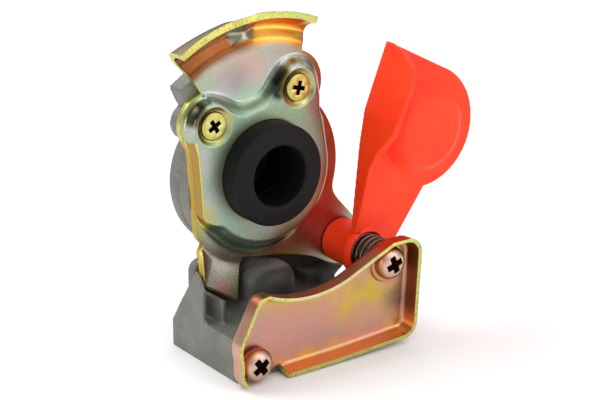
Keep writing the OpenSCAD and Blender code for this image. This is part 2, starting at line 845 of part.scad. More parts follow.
// Third value of each point: 1 where the edge is bent, 0 along the gap below the left screw
function bent(points) = [for (p = points) [p.x, p.y, 1]];

tray_path = concat(
    bent(arc_points([tray_right - tray_corner_r, tray_top - tray_corner_r], tray_corner_r, 0, 90, 6)),
    bent([tray_crest_at]),
    bent(arc_points(tray_scoop_at, tray_scoop_r, -70, -111, 10)),
    bent(arc_points(tray_shoulder_at, tray_shoulder_r, 65, 150, 6)),
    bent(arc_points(tray_side_at, tray_side_r, 160, 200, 4)),
    bent(arc_points(tray_foot_at, tray_foot_r, 190, 226, 3)),
    [for (p = [arc_points(tray_foot_at, tray_foot_r, 226, 226, 1)[0]]) [p.x + pair_step, p.y - pair_step, 0]],
    [for (i = [2:-1:0]) [tray_screw.x + tray_floor[i].x, tray_low + tray_floor[i].y, 0]],
    [[tray_gap_right - pair_step, tray_low, 0]],
    bent([[tray_gap_right, tray_low], [0, tray_low + tray_sag / 2], [12, tray_low + tray_sag]]),
    bent(arc_points([tray_right - tray_low_corner_at.x, tray_low + tray_low_corner_at.y],
                    tray_low_corner_r, 275, 355, 5)));

// Outward direction of the outline at one point; both points at an end of the bend share it
function path_normal(p, i) =
    let (n = len(p),
         before = p[(i + n - 1) % n][2] == p[i][2] ? 1 : 2,
         after = p[(i + 1) % n][2] == p[i][2] ? 1 : 2,
         d = p[i] - p[(i + n - before) % n],
         e = p[(i + after) % n] - p[i],
         along = [d.x, d.y] / norm([d.x, d.y]) + [e.x, e.y] / norm([e.x, e.y]))
    [along.y, -along.x] / norm(along);

// Section of the edge: outward and forward from the face's rim, first the face, then the back
bend_steps = 4;
flat_lead = 0.7;
function edge_section(share) =
    let (turn = flange_bend * share,
         straight = share > 0 ? flange_h - flange_bend_r : flat_lead / 2,
         inner = [for (i = [0:bend_steps])
             let (b = turn * i / bend_steps)
             share > 0 ? flange_bend_r * [sin(b), 1 - cos(b)] : [flat_lead / 2 * i / bend_steps, 0]],
         tip = inner[bend_steps] + straight * [cos(turn), sin(turn)],
         outer = [for (i = [bend_steps:-1:0])
             let (b = turn * i / bend_steps)
             inner[i] + tray_t * [sin(b), -cos(b)]])
    concat(inner, [tip, tip + tray_t * [sin(turn), -cos(turn)]], outer);

module tray_sheet() {
    n = len(tray_path);
    m = 2 * (bend_steps + 1) + 2;
    inset = flange_bend_r + 1;
    edge = [for (i = [0:n - 1])
        let (p = tray_path[i], out = path_normal(tray_path, i))
        for (q = edge_section(p[2]))
            [p.x + out.x * (q.x - inset), tray_front_y - q.y, seal_z + p.y + out.y * (q.x - inset)]];
    middles = [for (y = [tray_front_y, tray_back_y]) [tray_middle.x, y, seal_z + tray_middle.y]];
    skin = [for (i = [0:n - 1]) for (k = [0:m - 2])
        for (t = [[[0, 0], [0, 1], [1, 1]], [[0, 0], [1, 1], [1, 0]]])
            [for (c = t) ((i + c.x) % n) * m + k + c.y]];
    face = [for (i = [0:n - 1]) [(i + 1) % n * m, i * m, n * m]];
    back = [for (i = [0:n - 1]) [i * m + m - 1, (i + 1) % n * m + m - 1, n * m + 1]];
    polyhedron(concat(edge, middles), concat(skin, face, back), convexity = 8);
}

module coding_plate() {
    boss_brim = [-1.4, 1.2];
    screws = [tray_screw, pivot];
    color([0.8, 0.62, 0.5])
        difference() {
            union() {
                tray_sheet();
                for (i = [0, 1])
                    rod(screws[i], pan_head_d / 2 + boss_brim[i], tray_front_y + weld, weld + boss_rise);
            }
            for (p = screws)
                rod(p, pan_hole_r, tray_back_y + cut_over, tray_t + boss_rise + cut_over * 2);
        }
}

body();
guide_plate();
seal_ring();
guide_plate_screws();
coding_plate();
coding_plate_screw();
cap();
cap_pivot_screw();
cap_spring();
pivot_bush();
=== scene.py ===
import math

import bmesh
import bpy
import numpy as np
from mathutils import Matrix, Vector


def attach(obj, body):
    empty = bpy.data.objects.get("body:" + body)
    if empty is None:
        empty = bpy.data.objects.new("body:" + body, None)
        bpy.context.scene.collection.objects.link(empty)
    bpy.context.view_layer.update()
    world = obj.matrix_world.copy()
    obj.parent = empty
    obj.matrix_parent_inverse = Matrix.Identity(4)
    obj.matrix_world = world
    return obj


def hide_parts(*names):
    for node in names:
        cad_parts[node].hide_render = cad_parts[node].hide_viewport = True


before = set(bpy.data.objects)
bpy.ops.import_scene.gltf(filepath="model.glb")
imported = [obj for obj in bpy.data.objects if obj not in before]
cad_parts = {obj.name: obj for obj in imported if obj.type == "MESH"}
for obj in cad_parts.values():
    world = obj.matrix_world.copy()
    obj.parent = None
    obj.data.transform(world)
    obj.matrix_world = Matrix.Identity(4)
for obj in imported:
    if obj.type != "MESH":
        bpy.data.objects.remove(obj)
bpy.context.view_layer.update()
scene = bpy.context.scene
mm = 0.001
weld = 0.002 * mm                # points nearer than this become one
sealZ = 61.0                     # height of the seal's axis over the base
pivotAt = (32.4, -31.8)          # the cap's screw, x and z from the seal's axis
plateScrewAt = ((-19.7, 18.3), (12.8, 25.5))
trayScrewAt = (-20.7, 6.6 - sealZ)


# Camera: the photo's own viewpoint

view = dict(lens=116.4, sensor=36, place=(-0.33624, -0.49520, 0.26285), down=19.683, turn=35.590)
camera = bpy.data.objects.new("photoCamera", bpy.data.cameras.new("photoCamera"))
camera.data.lens = view["lens"]
camera.data.sensor_width = view["sensor"]
camera.location = view["place"]
camera.rotation_euler = (math.radians(90 - view["down"]), 0, math.radians(-view["turn"]))
scene.collection.objects.link(camera)
scene.camera = camera
print("camera set")


# Shader helper

class Wire:
    def __init__(self, tree, socket=None):
        self.tree, self.socket = tree, socket

    def node(self, kind, settings=None, sockets=None, out=0):
        made = self.tree.nodes.new(kind)
        for key, value in (settings or {}).items():
            setattr(made, key, value)
        for key, value in (sockets or {}).items():
            if isinstance(value, Wire):
                self.tree.links.new(value.socket, made.inputs[key])
            else:
                made.inputs[key].default_value = value
        return Wire(self.tree, made.outputs[out]) if made.outputs else None

    def maths(self, operation, *values):
        return self.node("ShaderNodeMath", {"operation": operation}, dict(enumerate(values)))

    def __add__(self, other):
        return self.maths("ADD", self, other)

    def __radd__(self, other):
        return self.maths("ADD", other, self)

    def __mul__(self, other):
        return self.maths("MULTIPLY", self, other)

    def __rmul__(self, other):
        return self.maths("MULTIPLY", other, self)

    def between(self, low, high):        # 0 below low, 1 above high, eased
        return self.node("ShaderNodeMapRange", {"interpolation_type": "SMOOTHSTEP"},
                         {0: self, 1: low, 2: high, 3: 0.0, 4: 1.0})

    def clouds(self, size, detail=3.0, rough=0.5):           # noise whose lumps are about size mm
        return self.node("ShaderNodeTexNoise", {"noise_dimensions": "3D"},
                         {"Vector": self.place(), "Scale": 1 / (size * mm), "Detail": detail,
                          "Roughness": rough})

    def place(self):
        return self.node("ShaderNodeTexCoord", out=3)

    def around(self, at, inner, outer):  # 1 near a place in the front view, 0 beyond outer mm
        shift = (-at[0] * mm, 0, -(sealZ + at[1]) * mm)
        flat = self.node("ShaderNodeMapping", None, {0: self.place(), 1: shift, 3: (1, 0, 1)})
        reach = self.node("ShaderNodeVectorMath", {"operation": "LENGTH"}, {0: flat}, out=1)
        return reach.between(outer * mm, inner * mm)

    def spread(self, name):              # a value that a piece's mesh carries
        return self.node("ShaderNodeAttribute", {"attribute_name": name}, out=2)

    def tint(self, share, under, over):
        return self.node("ShaderNodeMix", {"data_type": "RGBA"}, {0: share, 6: under, 7: over}, out=2)


def paint(colour):                       # a colour read off a screen, made linear
    return (*((v / 255 / 12.92) if v < 10.3 else ((v / 255 + 0.055) / 1.055) ** 2.4 for v in colour), 1)


def startFinish(name):
    material = bpy.data.materials.new(name)
    material.use_nodes = True
    material.node_tree.nodes.clear()
    return material, Wire(material.node_tree)


def endFinish(material, wire, bumps=(), **sockets):
    normal = None
    for height, depth in bumps:          # depth in mm, applied one over the other
        links = {"Height": height, "Distance": depth * mm, "Strength": 1.0}
        if normal:
            links["Normal"] = normal
        normal = wire.node("ShaderNodeBump", None, links)
    named = {key.replace("_", " "): value for key, value in sockets.items()}
    if normal:
        named["Normal"] = normal
    shader = wire.node("ShaderNodeBsdfPrincipled", None, named)
    wire.node("ShaderNodeOutputMaterial", None, {"Surface": shader})
    return material


# Finishes: sizes and depths in mm, colours as a screen shows them

# recess and inside are painted shade: the recess under the plates and the chamber behind the seal's bore
castLook = dict(
    gritSize=0.5, blotchSize=9, lumpSize=2.2, gritDeep=0.14, lumpDeep=0.10, gritShare=0.5,
    grey=(128, 127, 122), pale=(143, 142, 136), dark=(82, 80, 76), recess=(44, 43, 40),
    inside=(18, 17, 16), metallic=0.6, rough=0.46, roughGrit=0.22,
)


def makeCastMetal():
    c = castLook
    material, w = startFinish("castMetal")
    grit = w.clouds(c["gritSize"], 4, 0.65)
    blotch = w.clouds(c["blotchSize"], 3)
    lumps = w.clouds(c["lumpSize"], 2)
    grey = w.tint(blotch.between(0.3, 0.7), paint(c["grey"]), paint(c["pale"]))
    grey = w.tint(grit.between(0.4, 0.7) * c["gritShare"], grey, paint(c["dark"]))
    # painted shade: the recess under the plates, then the chamber behind the seal's bore
    grey = w.tint(w.spread("recessShadeShare"), grey, paint(c["recess"]))
    grey = w.tint(w.spread("chamberShadeShare"), grey, paint(c["inside"]))
    return endFinish(material, w, [(lumps, c["lumpDeep"]), (grit, c["gritDeep"])], Base_Color=grey,
                     Metallic=c["metallic"], Roughness=c["rough"] + grit * c["roughGrit"])


# Where the passivation of the guide plate changes colour, and where dark reflections are painted on the screw
# bosses' left slopes (the five entries in 42, 40, 38): place, inner and outer reach, share, colour
plateTintsAndReflections = (
    ((2, 8), 12, 30, 0.8, (148, 180, 150)),
    ((-15, -15), 3, 15, 0.85, (150, 184, 162)),
    ((-4, -25), 2, 11, 0.7, (160, 186, 168)),
    ((21, -13), 4, 17, 0.75, (182, 132, 92)),
    ((9, -27), 3, 12, 0.65, (150, 112, 58)),
    ((-25, -12), 2, 9, 0.55, (196, 178, 80)),
    ((-10, 37), 3, 12, 0.6, (196, 166, 168)),
    ((8, 40), 2, 9, 0.5, (176, 172, 178)),
    ((-17, -37.5), 1, 5, 0.75, (206, 158, 164)),
    ((-17, -43), 1, 5, 0.6, (150, 190, 170)),
    ((-2.5, 34.5), 1, 9, 0.55, (206, 156, 150)),
    ((-9, 32), 1, 9, 0.45, (132, 124, 130)),
    ((7.4, 31), 1, 3.4, 0.8, (42, 40, 38)),
    ((6.3, 28.4), 1.4, 3.9, 0.95, (42, 40, 38)),
    ((5.1, 25.2), 1.2, 3.6, 0.9, (42, 40, 38)),
    ((-24.8, 24.4), 1.2, 3.6, 0.9, (42, 40, 38)),
    ((-26.6, 21.6), 1.2, 3.6, 0.9, (42, 40, 38)),
)
plateLook = dict(
    grainSize=0.3, driftSize=7, stainSize=4, waveSize=3.5, grainDeep=0.018, waveDeep=0.025,
    silver=(176, 176, 172), green=(156, 172, 158), yellow=(186, 172, 70), lime=(160, 172, 92),
    # channel paints shade and reflection into the lip's channel, channelHighlight a painted highlight there
    channel=(128, 68, 24), channelHighlight=(244, 176, 66), highlightAt=(8, 46), highlightReach=(4, 18),
    out=(146, 126, 94), outShare=0.85, flank=(164, 124, 54), flankShare=0.9,
    # crest is a painted highlight along the bend of the left flank
    crest=(236, 220, 92), crestShare=0.9, specks=(98, 90, 74), speckShare=0.5,
    rough=0.2, roughGrain=0.16, roughMiddle=0.18, middleReach=(20, 26),
)


def makePlateZinc():
    c = plateLook
    material, w = startFinish("guidePlateZinc")
    grain = w.clouds(c["grainSize"], 2, 0.75)
    drift = w.clouds(c["driftSize"], 3, 0.55)
    silver = w.tint(drift.between(0.4, 0.62), paint(c["silver"]), paint(c["green"]))
    for at, inner, outer, share, colour in plateTintsAndReflections:
        silver = w.tint(w.around(at, inner, outer) * (share * 0.5 + share * drift), silver, paint(colour))
    stains = w.clouds(c["stainSize"], 2)
    yellow = w.tint(stains.between(0.35, 0.65), paint(c["yellow"]), paint(c["lime"]))
    silver = w.tint(w.spread("edgeStainAndRimShade") * (0.45 + 0.5 * drift), silver, yellow)
    # the lip's channel: gold passivation darkened with painted shade and reflection, with a painted highlight
    # near highlightAt
    channel = w.tint(w.around(c["highlightAt"], *c["highlightReach"]), paint(c["channel"]), paint(c["channelHighlight"]))
    silver = w.tint(w.spread("grooveShare") * (0.85 + 0.2 * drift), silver, channel)
    # crest is a painted highlight on the left flank's bend
    for part in ("out", "flank", "crest"):
        silver = w.tint(w.spread(part + "Share") * c[part + "Share"], silver, paint(c[part]))
    silver = w.tint(grain.between(0.5, 0.72) * c["speckShare"], silver, paint(c["specks"]))
    middle = w.around((0, 0), *c["middleReach"])
    bumps = [(w.clouds(c["waveSize"], 2), c["waveDeep"]), (grain, c["grainDeep"])]
    return endFinish(material, w, bumps, Base_Color=silver, Metallic=1.0,
                     Roughness=c["rough"] + grain * c["roughGrain"] + middle * c["roughMiddle"])


# The same for the tray
trayTints = (
    ((18, -40), 3, 15, 0.8, (212, 176, 70)),
    ((30, -42), 3, 12, 0.8, (206, 176, 66)),
    ((2, -40), 2, 9, 0.55, (214, 172, 84)),
    ((36, -46), 2, 8, 0.7, (120, 92, 96)),
    ((21, -36), 1, 6, 0.6, (150, 132, 118)),
    ((24, -50), 3, 12, 0.5, (176, 150, 104)),
    ((-8, -50), 5, 18, 0.6, (206, 150, 142)),
)
trayLook = dict(
    grainSize=0.3, driftSize=8, waveSize=4, grainDeep=0.02, waveDeep=0.03,
    pink=(204, 150, 132), mauve=(190, 148, 138), edge=(208, 170, 78),
    channel=(242, 160, 98), channelDim=(132, 74, 44), dimAt=(42, -36), dimReach=(12, 21), channelShare=0.92,
    out=(176, 112, 84), outPale=(212, 166, 142), paleAt=(-27, -48), paleReach=(10, 16),
    specks=(120, 84, 60), speckShare=0.4, rough=0.28, roughGrain=0.16,
)


def makeTrayZinc():
    c = trayLook
    material, w = startFinish("codingPlateZinc")
    grain = w.clouds(c["grainSize"], 2, 0.75)
    drift = w.clouds(c["driftSize"], 3, 0.55)
    pink = w.tint(drift.between(0.35, 0.65), paint(c["pink"]), paint(c["mauve"]))
    for at, inner, outer, share, colour in trayTints:
        patch = w.around(at, inner, outer) * (drift * share * 2).between(0.35, 1.1)
        pink = w.tint(patch, pink, paint(colour))
    pink = w.tint(w.spread("edgeStainAndRimShade") * (drift * 1.6).between(0.5, 1.0), pink, paint(c["edge"]))
    channel = w.tint(w.around(c["dimAt"], *c["dimReach"]), paint(c["channel"]), paint(c["channelDim"]))
    pink = w.tint(w.spread("grooveShare") * c["channelShare"], pink, channel)
    outside = w.tint(w.around(c["paleAt"], *c["paleReach"]), paint(c["out"]), paint(c["outPale"]))
    pink = w.tint(w.spread("outShare"), pink, outside)
    pink = w.tint(grain.between(0.5, 0.72) * c["speckShare"], pink, paint(c["specks"]))
    bumps = [(w.clouds(c["waveSize"], 2), c["waveDeep"]), (grain, c["grainDeep"])]
    return endFinish(material, w, bumps, Base_Color=pink, Metallic=1.0,
                     Roughness=c["rough"] + grain * c["roughGrain"])


edgeLook = dict(
    markSize=0.8, patchSize=6, markDeep=0.06, yellow=(212, 204, 112), lime=(190, 200, 118),
    marks=(120, 108, 46), markShare=0.6, flank=(186, 152, 66),
    low=(208, 188, 152), lowAt=(8, -36), lowReach=(12, 24), lowShare=0.8, rough=0.34, roughMarks=0.2,
)


def makeCutEdge():
    c = edgeLook
    material, w = startFinish("sheetEdge")
    marks = w.clouds(c["markSize"], 3, 0.6)
    patches = w.clouds(c["patchSize"], 2)
    colour = w.tint(patches.between(0.35, 0.65), paint(c["yellow"]), paint(c["lime"]))
    colour = w.tint(marks.between(0.48, 0.7) * c["markShare"], colour, paint(c["marks"]))
    colour = w.tint(w.spread("flankShare"), colour, paint(c["flank"]))
    colour = w.tint(w.around(c["lowAt"], *c["lowReach"]) * c["lowShare"], colour, paint(c["low"]))
    return endFinish(material, w, [(marks, c["markDeep"])], Base_Color=colour, Metallic=1.0,
                     Roughness=c["rough"] + marks * c["roughMarks"])


rubberLook = dict(dustSize=1.6, poreSize=0.5, poreDeep=0.015, black=(9, 9, 9), dusty=(19, 18, 17),
                  rough=0.52, roughDust=0.16, shine=0.22)


def makeRubber():
    c = rubberLook
    material, w = startFinish("sealRubber")
    dust = w.clouds(c["dustSize"], 4, 0.6)
    black = w.tint(dust.between(0.45, 0.75), paint(c["black"]), paint(c["dusty"]))
    return endFinish(material, w, [(w.clouds(c["poreSize"], 3), c["poreDeep"])], Base_Color=black,
                     Roughness=c["rough"] + dust * c["roughDust"], Specular_IOR_Level=c["shine"])


plasticLook = dict(
    flowSize=14, pebbleSize=0.45, waveSize=6, pebbleDeep=0.006, waveDeep=0.03, red=(255, 54, 10),
    paleRed=(255, 66, 18), rough=0.42, roughPebble=0.1, shine=0.3, glow=0.12,
    glowReach=(0.003, 0.0008, 0.0004),
)


def makeCapPlastic():
    c = plasticLook
    material, w = startFinish("capPlastic")
    flow = w.clouds(c["flowSize"], 2, 0.4)
    red = w.tint(flow.between(0.3, 0.7), paint(c["red"]), paint(c["paleRed"]))
    pebble = w.clouds(c["pebbleSize"], 2)
    bumps = [(w.clouds(c["waveSize"], 1), c["waveDeep"]), (pebble, c["pebbleDeep"])]
    return endFinish(material, w, bumps, Base_Color=red, Roughness=c["rough"] + pebble * c["roughPebble"],
                     Subsurface_Weight=c["glow"], Subsurface_Radius=c["glowReach"],
                     Specular_IOR_Level=c["shine"])


# rimShadeShare sets the painted shade and reflection on the outer ring of each head
screwLook = dict(patchSize=3, grainSize=0.3, grainDeep=0.02, rimShadeShare=0.85, grainShare=0.35,
                 rough=0.26, roughGrain=0.18)


def makeScrew(name, bright, warm, rim):
    c = screwLook
    material, w = startFinish(name)
    patches = w.clouds(c["patchSize"], 2)
    grain = w.clouds(c["grainSize"], 2, 0.7)
    colour = w.tint(patches.between(0.35, 0.65), paint(bright), paint(warm))
    # painted shade and reflection on the head's outer ring; the same darker colour also marks the grain
    colour = w.tint(w.spread("edgeStainAndRimShade") * c["rimShadeShare"], colour, paint(rim))
    colour = w.tint(grain.between(0.5, 0.75) * c["grainShare"], colour, paint(rim))
    return endFinish(material, w, [(grain, c["grainDeep"])], Base_Color=colour, Metallic=1.0,
                     Roughness=c["rough"] + grain * c["roughGrain"])


steelLook = dict(grainSize=0.4, grainDeep=0.015, rough=0.28, roughGrain=0.2)


def makeSteel(name, bright, dark):
    c = steelLook
    material, w = startFinish(name)
    grain = w.clouds(c["grainSize"], 3, 0.6)
    colour = w.tint(grain.between(0.4, 0.7), paint(bright), paint(dark))
    return endFinish(material, w, [(grain, c["grainDeep"])], Base_Color=colour, Metallic=1.0,
                     Roughness=c["rough"] + grain * c["roughGrain"])


# painted shade: a dark, unshiny material that fills the driver's cross recess
recessShadeLook = dict(patchSize=1.2, brown=(40, 18, 14), black=(20, 12, 9), rough=0.8)


def makeRecessShade():
    c = recessShadeLook
    material, w = startFinish("screwRecessShade")
    patches = w.clouds(c["patchSize"], 2)
    colour = w.tint(patches.between(0.4, 0.6), paint(c["brown"]), paint(c["black"]))
    return endFinish(material, w, Base_Color=colour, Roughness=c["rough"], Specular_IOR_Level=0.0)


finishes = {
    "cast": makeCastMetal(),
    "plate": makePlateZinc(),
    "tray": makeTrayZinc(),
    "edge": makeCutEdge(),
    "rubber": makeRubber(),
    "plastic": makeCapPlastic(),
    # the third colour of each screw is the painted shade of its rim, also used for its grain
    "gold": makeScrew("screwGold", (224, 222, 146), (212, 208, 130), (188, 174, 88)),
    "pink": makeScrew("screwPink", (218, 178, 170), (204, 184, 150), (172, 98, 56)),
    # painted shade for the screws' driver recess
    "recess": makeRecessShade(),
    "wire": makeSteel("springSteel", (128, 112, 100), (58, 46, 40)),
    "bush": makeSteel("bushSteel", (190, 190, 186), (142, 138, 132)),
}
print("finishes made:", len(finishes))


# Mesh helpers

def newPiece(name, points, faces, *looks):
    mesh = bpy.data.meshes.new(name)
    mesh.from_pydata([tuple(c * mm for c in p) for p in points], [], faces)
    return asPiece(name, mesh, *looks)


def asPiece(name, mesh, *looks):
    mesh.materials.clear()
    for look in looks:
        mesh.materials.append(look)
    piece = bpy.data.objects.new(name, mesh)
    scene.collection.objects.link(piece)
    return piece


def settle(piece):                       # turns the modifiers into plain mesh
    graph = bpy.context.evaluated_depsgraph_get()
    graph.update()
    done = bpy.data.meshes.new_from_object(piece.evaluated_get(graph), preserve_all_data_layers=True,
                                           depsgraph=graph)
    piece.modifiers.clear()
    piece.data = done


def modify(piece, kind, **settings):
    modifier = piece.modifiers.new(kind.lower(), kind)
    for key, value in settings.items():
        setattr(modifier, key, value)
    settle(piece)


def cutAway(piece, tool):
    modify(piece, "BOOLEAN", operation="DIFFERENCE", solver="EXACT", object=tool)
    bpy.data.objects.remove(tool)


def roundEdges(piece, width, segments, angle, **more):
    modify(piece, "BEVEL", width=width * mm, segments=segments, limit_method="ANGLE",
           angle_limit=math.radians(angle), **more)


def joinPoints(piece):                   # joins doubled points and turns all faces outward
    tidy = bmesh.new()
    tidy.from_mesh(piece.data)
    bmesh.ops.remove_doubles(tidy, verts=tidy.verts, dist=weld)
    bmesh.ops.recalc_face_normals(tidy, faces=tidy.faces)
    tidy.to_mesh(piece.data)
    tidy.free()
    return piece


def softShade(piece, angle):
    mesh = piece.data
    mesh.polygons.foreach_set("use_smooth", [True] * len(mesh.polygons))
    mesh.set_sharp_from_angle(angle=math.radians(angle))


def spreadValue(piece, name, values):
    layer = piece.data.attributes.get(name) or piece.data.attributes.new(name, "FLOAT", "POINT")
    layer.data.foreach_set("value", np.asarray(values, np.float32))


def readPoints(piece, what):
    flat = np.zeros(len(piece.data.vertices) * 3)
    piece.data.vertices.foreach_get(what, flat)
    return flat.reshape(-1, 3)


def pointsOf(piece):                     # in mm
    return readPoints(piece, "co") / mm


def normalsOf(piece):
    return readPoints(piece, "normal")


def lathePoints(profile, turns, at, frontY):
    # profile: radius and forward reach, outward from the axis; the axis looks along -Y
    points, faces = [], []
    for i in range(turns):
        a = 2 * math.pi * i / turns
        for r, f in profile:
            points.append((at[0] + r * math.cos(a), frontY - f, sealZ + at[1] + r * math.sin(a)))
    n = len(profile)
    for i in range(turns):
        j = (i + 1) % turns
        for k in range(n - 1):
            faces.append((i * n + k, j * n + k, j * n + k + 1, i * n + k + 1))
    return points, faces


def tubeFaces(steps, n):                 # closed tube through steps + 1 rings of n points
    faces = []
    for i in range(steps):
        for k in range(n):
            j = (k + 1) % n
            faces.append((i * n + k, i * n + j, (i + 1) * n + j, (i + 1) * n + k))
    return faces + [tuple(range(n - 1, -1, -1)), tuple(steps * n + k for k in range(n))]


def smoothAll(piece, rounds, inward=0.5, outward=-0.53):     # two-way smoothing that keeps the volume
    mesh = piece.data
    pairs = np.zeros(len(mesh.edges) * 2, int)
    mesh.edges.foreach_get("vertices", pairs)
    a, b = pairs.reshape(-1, 2).T
    co = readPoints(piece, "co")
    count = np.bincount(np.concatenate([a, b]), minlength=len(co)).clip(1)[:, None]
    for i in range(rounds * 2):
        total = np.stack([np.bincount(a, co[b, k], len(co)) + np.bincount(b, co[a, k], len(co))
                          for k in range(3)], 1)
        co = co + (inward if i % 2 == 0 else outward) * (total / count - co)
    mesh.vertices.foreach_set("co", co.ravel())
    mesh.update()


def moulded(name, node, voxel, rounds, look):
    # the CAD solid's own surface, with the rounded edges of a casting or a moulding
    piece = asPiece(name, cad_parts[node].data.copy(), look)
    modify(piece, "REMESH", mode="VOXEL", voxel_size=voxel * mm, adaptivity=0.0)
    smoothAll(piece, rounds)
    piece.data.materials.clear()
    piece.data.materials.append(look)
    softShade(piece, 60)
    return piece


def eased(x):
    x = np.clip(x, 0, 1)
    return x * x * (3 - 2 * x)


def ramp(x, start, over):                # 0 up to start, 1 from start + over on
    return eased((x - start) / over)


def cosd(a):
    return math.cos(math.radians(a))


def sind(a):
    return math.sin(math.radians(a))


# Guide plate: lengths in mm from the seal's axis, turns in degrees

plate = dict(
    plateauY=-7.0, rise=4.0, sheet=2.2, hole=17.15, screwHole=4.78, pivotHole=3.15, drill=(3.0, -9.0),
    centre=(0.5, -2.5), crestCentre=(1.5, -1.7), crestR=22.2, footR=27.0, brimR=30.2, leftEdge=26.1,
    bossR=6.6, bossFootR=10.8, bossEdge=(10.4, 11.8), blendCrest=7.0, blendEdge=9.0, edgeMin=0.7,
    shoulderMin=2.2, swell=0.05, lean=50.0, earR=9.2, dimpleR=6.7, dimpleFloor=4.9, dimpleDeep=0.9,
    wallFrom=134.0, wallTo=226.0, wallEase=24.0, wallRound=0.9, wallEdge=0.75, wallSteep=0.65,
    webStart=(-5.9, -29.8), webBend=(14.2, -33.0), blendWeb=2.4,
    lipFrom=66.3, lipTo=127.0, lipRoot=42.0, lipLong=11.5, lipDip=32.0, lipBend=78.0, lipMoreBend=14.0,
    lipMoreLong=6.4, lipPower=4, lipCurl=(0.22, 0.68), beadHigh=2.0, beadHalf=7.0, beadAside=1.0,
    tongueFrom=225.5, tongueTo=255.4, tongueDrop=42.8, tongueLeftDrop=34.6, tongueLean=2.4,
    tongueRoot=32.5, tongueFlare=3.2, tonguePower=1.3, edgeRound=0.4, gap=0.8,
    steps=dict(flat=24, shoulder=12, brim=6, extra=18), raysPerDegree=1.35, tableBlur=3.5, edgeBlur=2.0,
    # where the stains, the painted shade in the lip's channel and the painted highlight on the left flank's
    # crest lie: pairs are the start of a ramp and its length
    stainsAndPaintedLight=dict(edge=2.6, lipR=36, lip=0.25, tongueR=30, tongue=0.2, screw=(5.0, 3.0), hole=0.55, holeFade=2.0,
               bead=(4, 3), beadRise=(43, 1.5), beadBare=0.85, groove=(40, 2), flankX=-21, flankZ=-12,
               flankHalf=26, flankR=40, flankTurn=(0.55, 0.25), crestTurn=(0.08, 0.15), crestEnd=(0.6, 0.25)),
)
farOff = 1000.0                          # reach of a line that a ray doesn't meet


def circleReach(c, r, a):
    turn = a - math.degrees(math.atan2(c[1], c[0]))
    d = math.hypot(*c)
    s, q = d * sind(turn), d * cosd(turn)
    return q + math.sqrt(r * r - s * s) if abs(s) < r and (q > 0 or d < r) else 0.0


def softMax(a, b, k):
    h = max(k - abs(a - b), 0) / k
    return max(a, b) + h * h * k / 4


def stripReach(c, r, a):
    d = abs((a - math.degrees(math.atan2(c[1], c[0])) + 540) % 360 - 180)
    if d > 60:
        return 0.0
    return circleReach(c, r, a) if d < math.degrees(math.atan(r / math.hypot(*c))) else r / sind(d)


def lineReach(p, q, a):
    n = (p[1] - q[1], q[0] - p[0])
    across = cosd(a) * n[0] + sind(a) * n[1]
    base = p[0] * n[0] + p[1] * n[1]
    return base / across if base * across > 0 else farOff


def tangentReach(c, r, d, s, side, a):
    u = (d[0] - c[0], d[1] - c[1])
    n = math.degrees(math.atan2(u[1], u[0])) + side * math.degrees(math.acos((r - s) / math.hypot(*u)))
    p = (c[0] + r * cosd(n), c[1] + r * sind(n))
    q = (d[0] + s * cosd(n), d[1] + s * sind(n))
    ends = [math.degrees(math.atan2(e[1], e[0])) % 360 for e in (p, q)]
    return lineReach(p, q, a) if min(ends) < a < max(ends) else 0.0


def roundWithBosses(c, r, boss, a):
    bosses = max(stripReach(p, boss, a) for p in plateScrewAt)
    return max(softMax(circleReach(c, r, a), bosses, plate["blendCrest"]),
               tangentReach(c, r, plateScrewAt[0], boss, 1, a),
               tangentReach(c, r, plateScrewAt[1], boss, -1, a))


tongueLeft = ((-plate["leftEdge"], 0.0), (plate["tongueLean"] - plate["leftEdge"], -plate["tongueLeftDrop"]))
tongueCorner = (-plate["tongueDrop"] / math.tan(math.radians(plate["tongueTo"] - 180)), -plate["tongueDrop"])
beadMiddle = (plate["lipFrom"] + plate["lipTo"]) / 2 + plate["beadAside"]
earTurn = math.degrees(math.asin(plate["earR"] / math.hypot(*pivotAt)))
earSide = math.degrees(math.atan2(pivotAt[1], pivotAt[0])) + 360 - earTurn
earTouch = tuple(math.hypot(*pivotAt) * cosd(earTurn) * c for c in (cosd(earSide), sind(earSide)))


def leftLimit(a):
    return lineReach(*tongueLeft, a) if 100 < a < 270 else farOff


def onLip(a):
    return plate["lipFrom"] <= a <= plate["lipTo"]


def onTongue(a):
    return plate["tongueFrom"] <= a <= plate["tongueTo"]


def webReach(a):                         # lower edge from the tongue to the ear
    return softMax(lineReach(plate["webStart"], plate["webBend"], a),
                   lineReach(plate["webBend"], earTouch, a), plate["blendWeb"])


def edgeReach(a):
    if onLip(a):
        return plate["lipRoot"]
    if onTongue(a):
        return plate["tongueRoot"]
    if plate["tongueTo"] < a < earSide:
        return webReach(a)
    brim = min(circleReach(plate["centre"], plate["brimR"], a), leftLimit(a))
    return max(softMax(brim, stripReach(pivotAt, plate["earR"], a), plate["blendEdge"]),
               *[stripReach(p, r, a) for p, r in zip(plateScrewAt, plate["bossEdge"])])


def blurred(values, width, closed):      # smooths a table over the full circle, or between ends that stay
    reach = int(width * 4)
    weight = np.exp(-0.5 * (np.arange(-reach, reach + 1) / width) ** 2)
    if closed:
        before, after = values[-reach:], values[:reach]
    else:
        before = 2 * values[0] - values[reach:0:-1]
        after = 2 * values[-1] - values[-2:-reach - 2:-1]
    return np.convolve(np.concatenate([before, values, after]), weight / weight.sum(), "valid")


def wallShare(a):                        # where the left side is drawn back as a steep wall
    ease = plate["wallEase"]
    return float(ramp(a, plate["wallFrom"], ease) * eased((plate["wallTo"] - a) / ease))


def crestReach(a):
    reach = roundWithBosses(plate["crestCentre"], plate["crestR"], plate["bossR"], a)
    return reach + wallShare(a) * max(0, leftLimit(a) - plate["wallRound"] - reach)


def footReach(a):
    return roundWithBosses(plate["centre"], plate["footR"], plate["bossFootR"], a)


tableAngles = np.arange(0, 360, 0.5)
crestTable, footTable = (blurred(np.array([reach(a) for a in tableAngles]), plate["tableBlur"], True)
                         for reach in (crestReach, footReach))


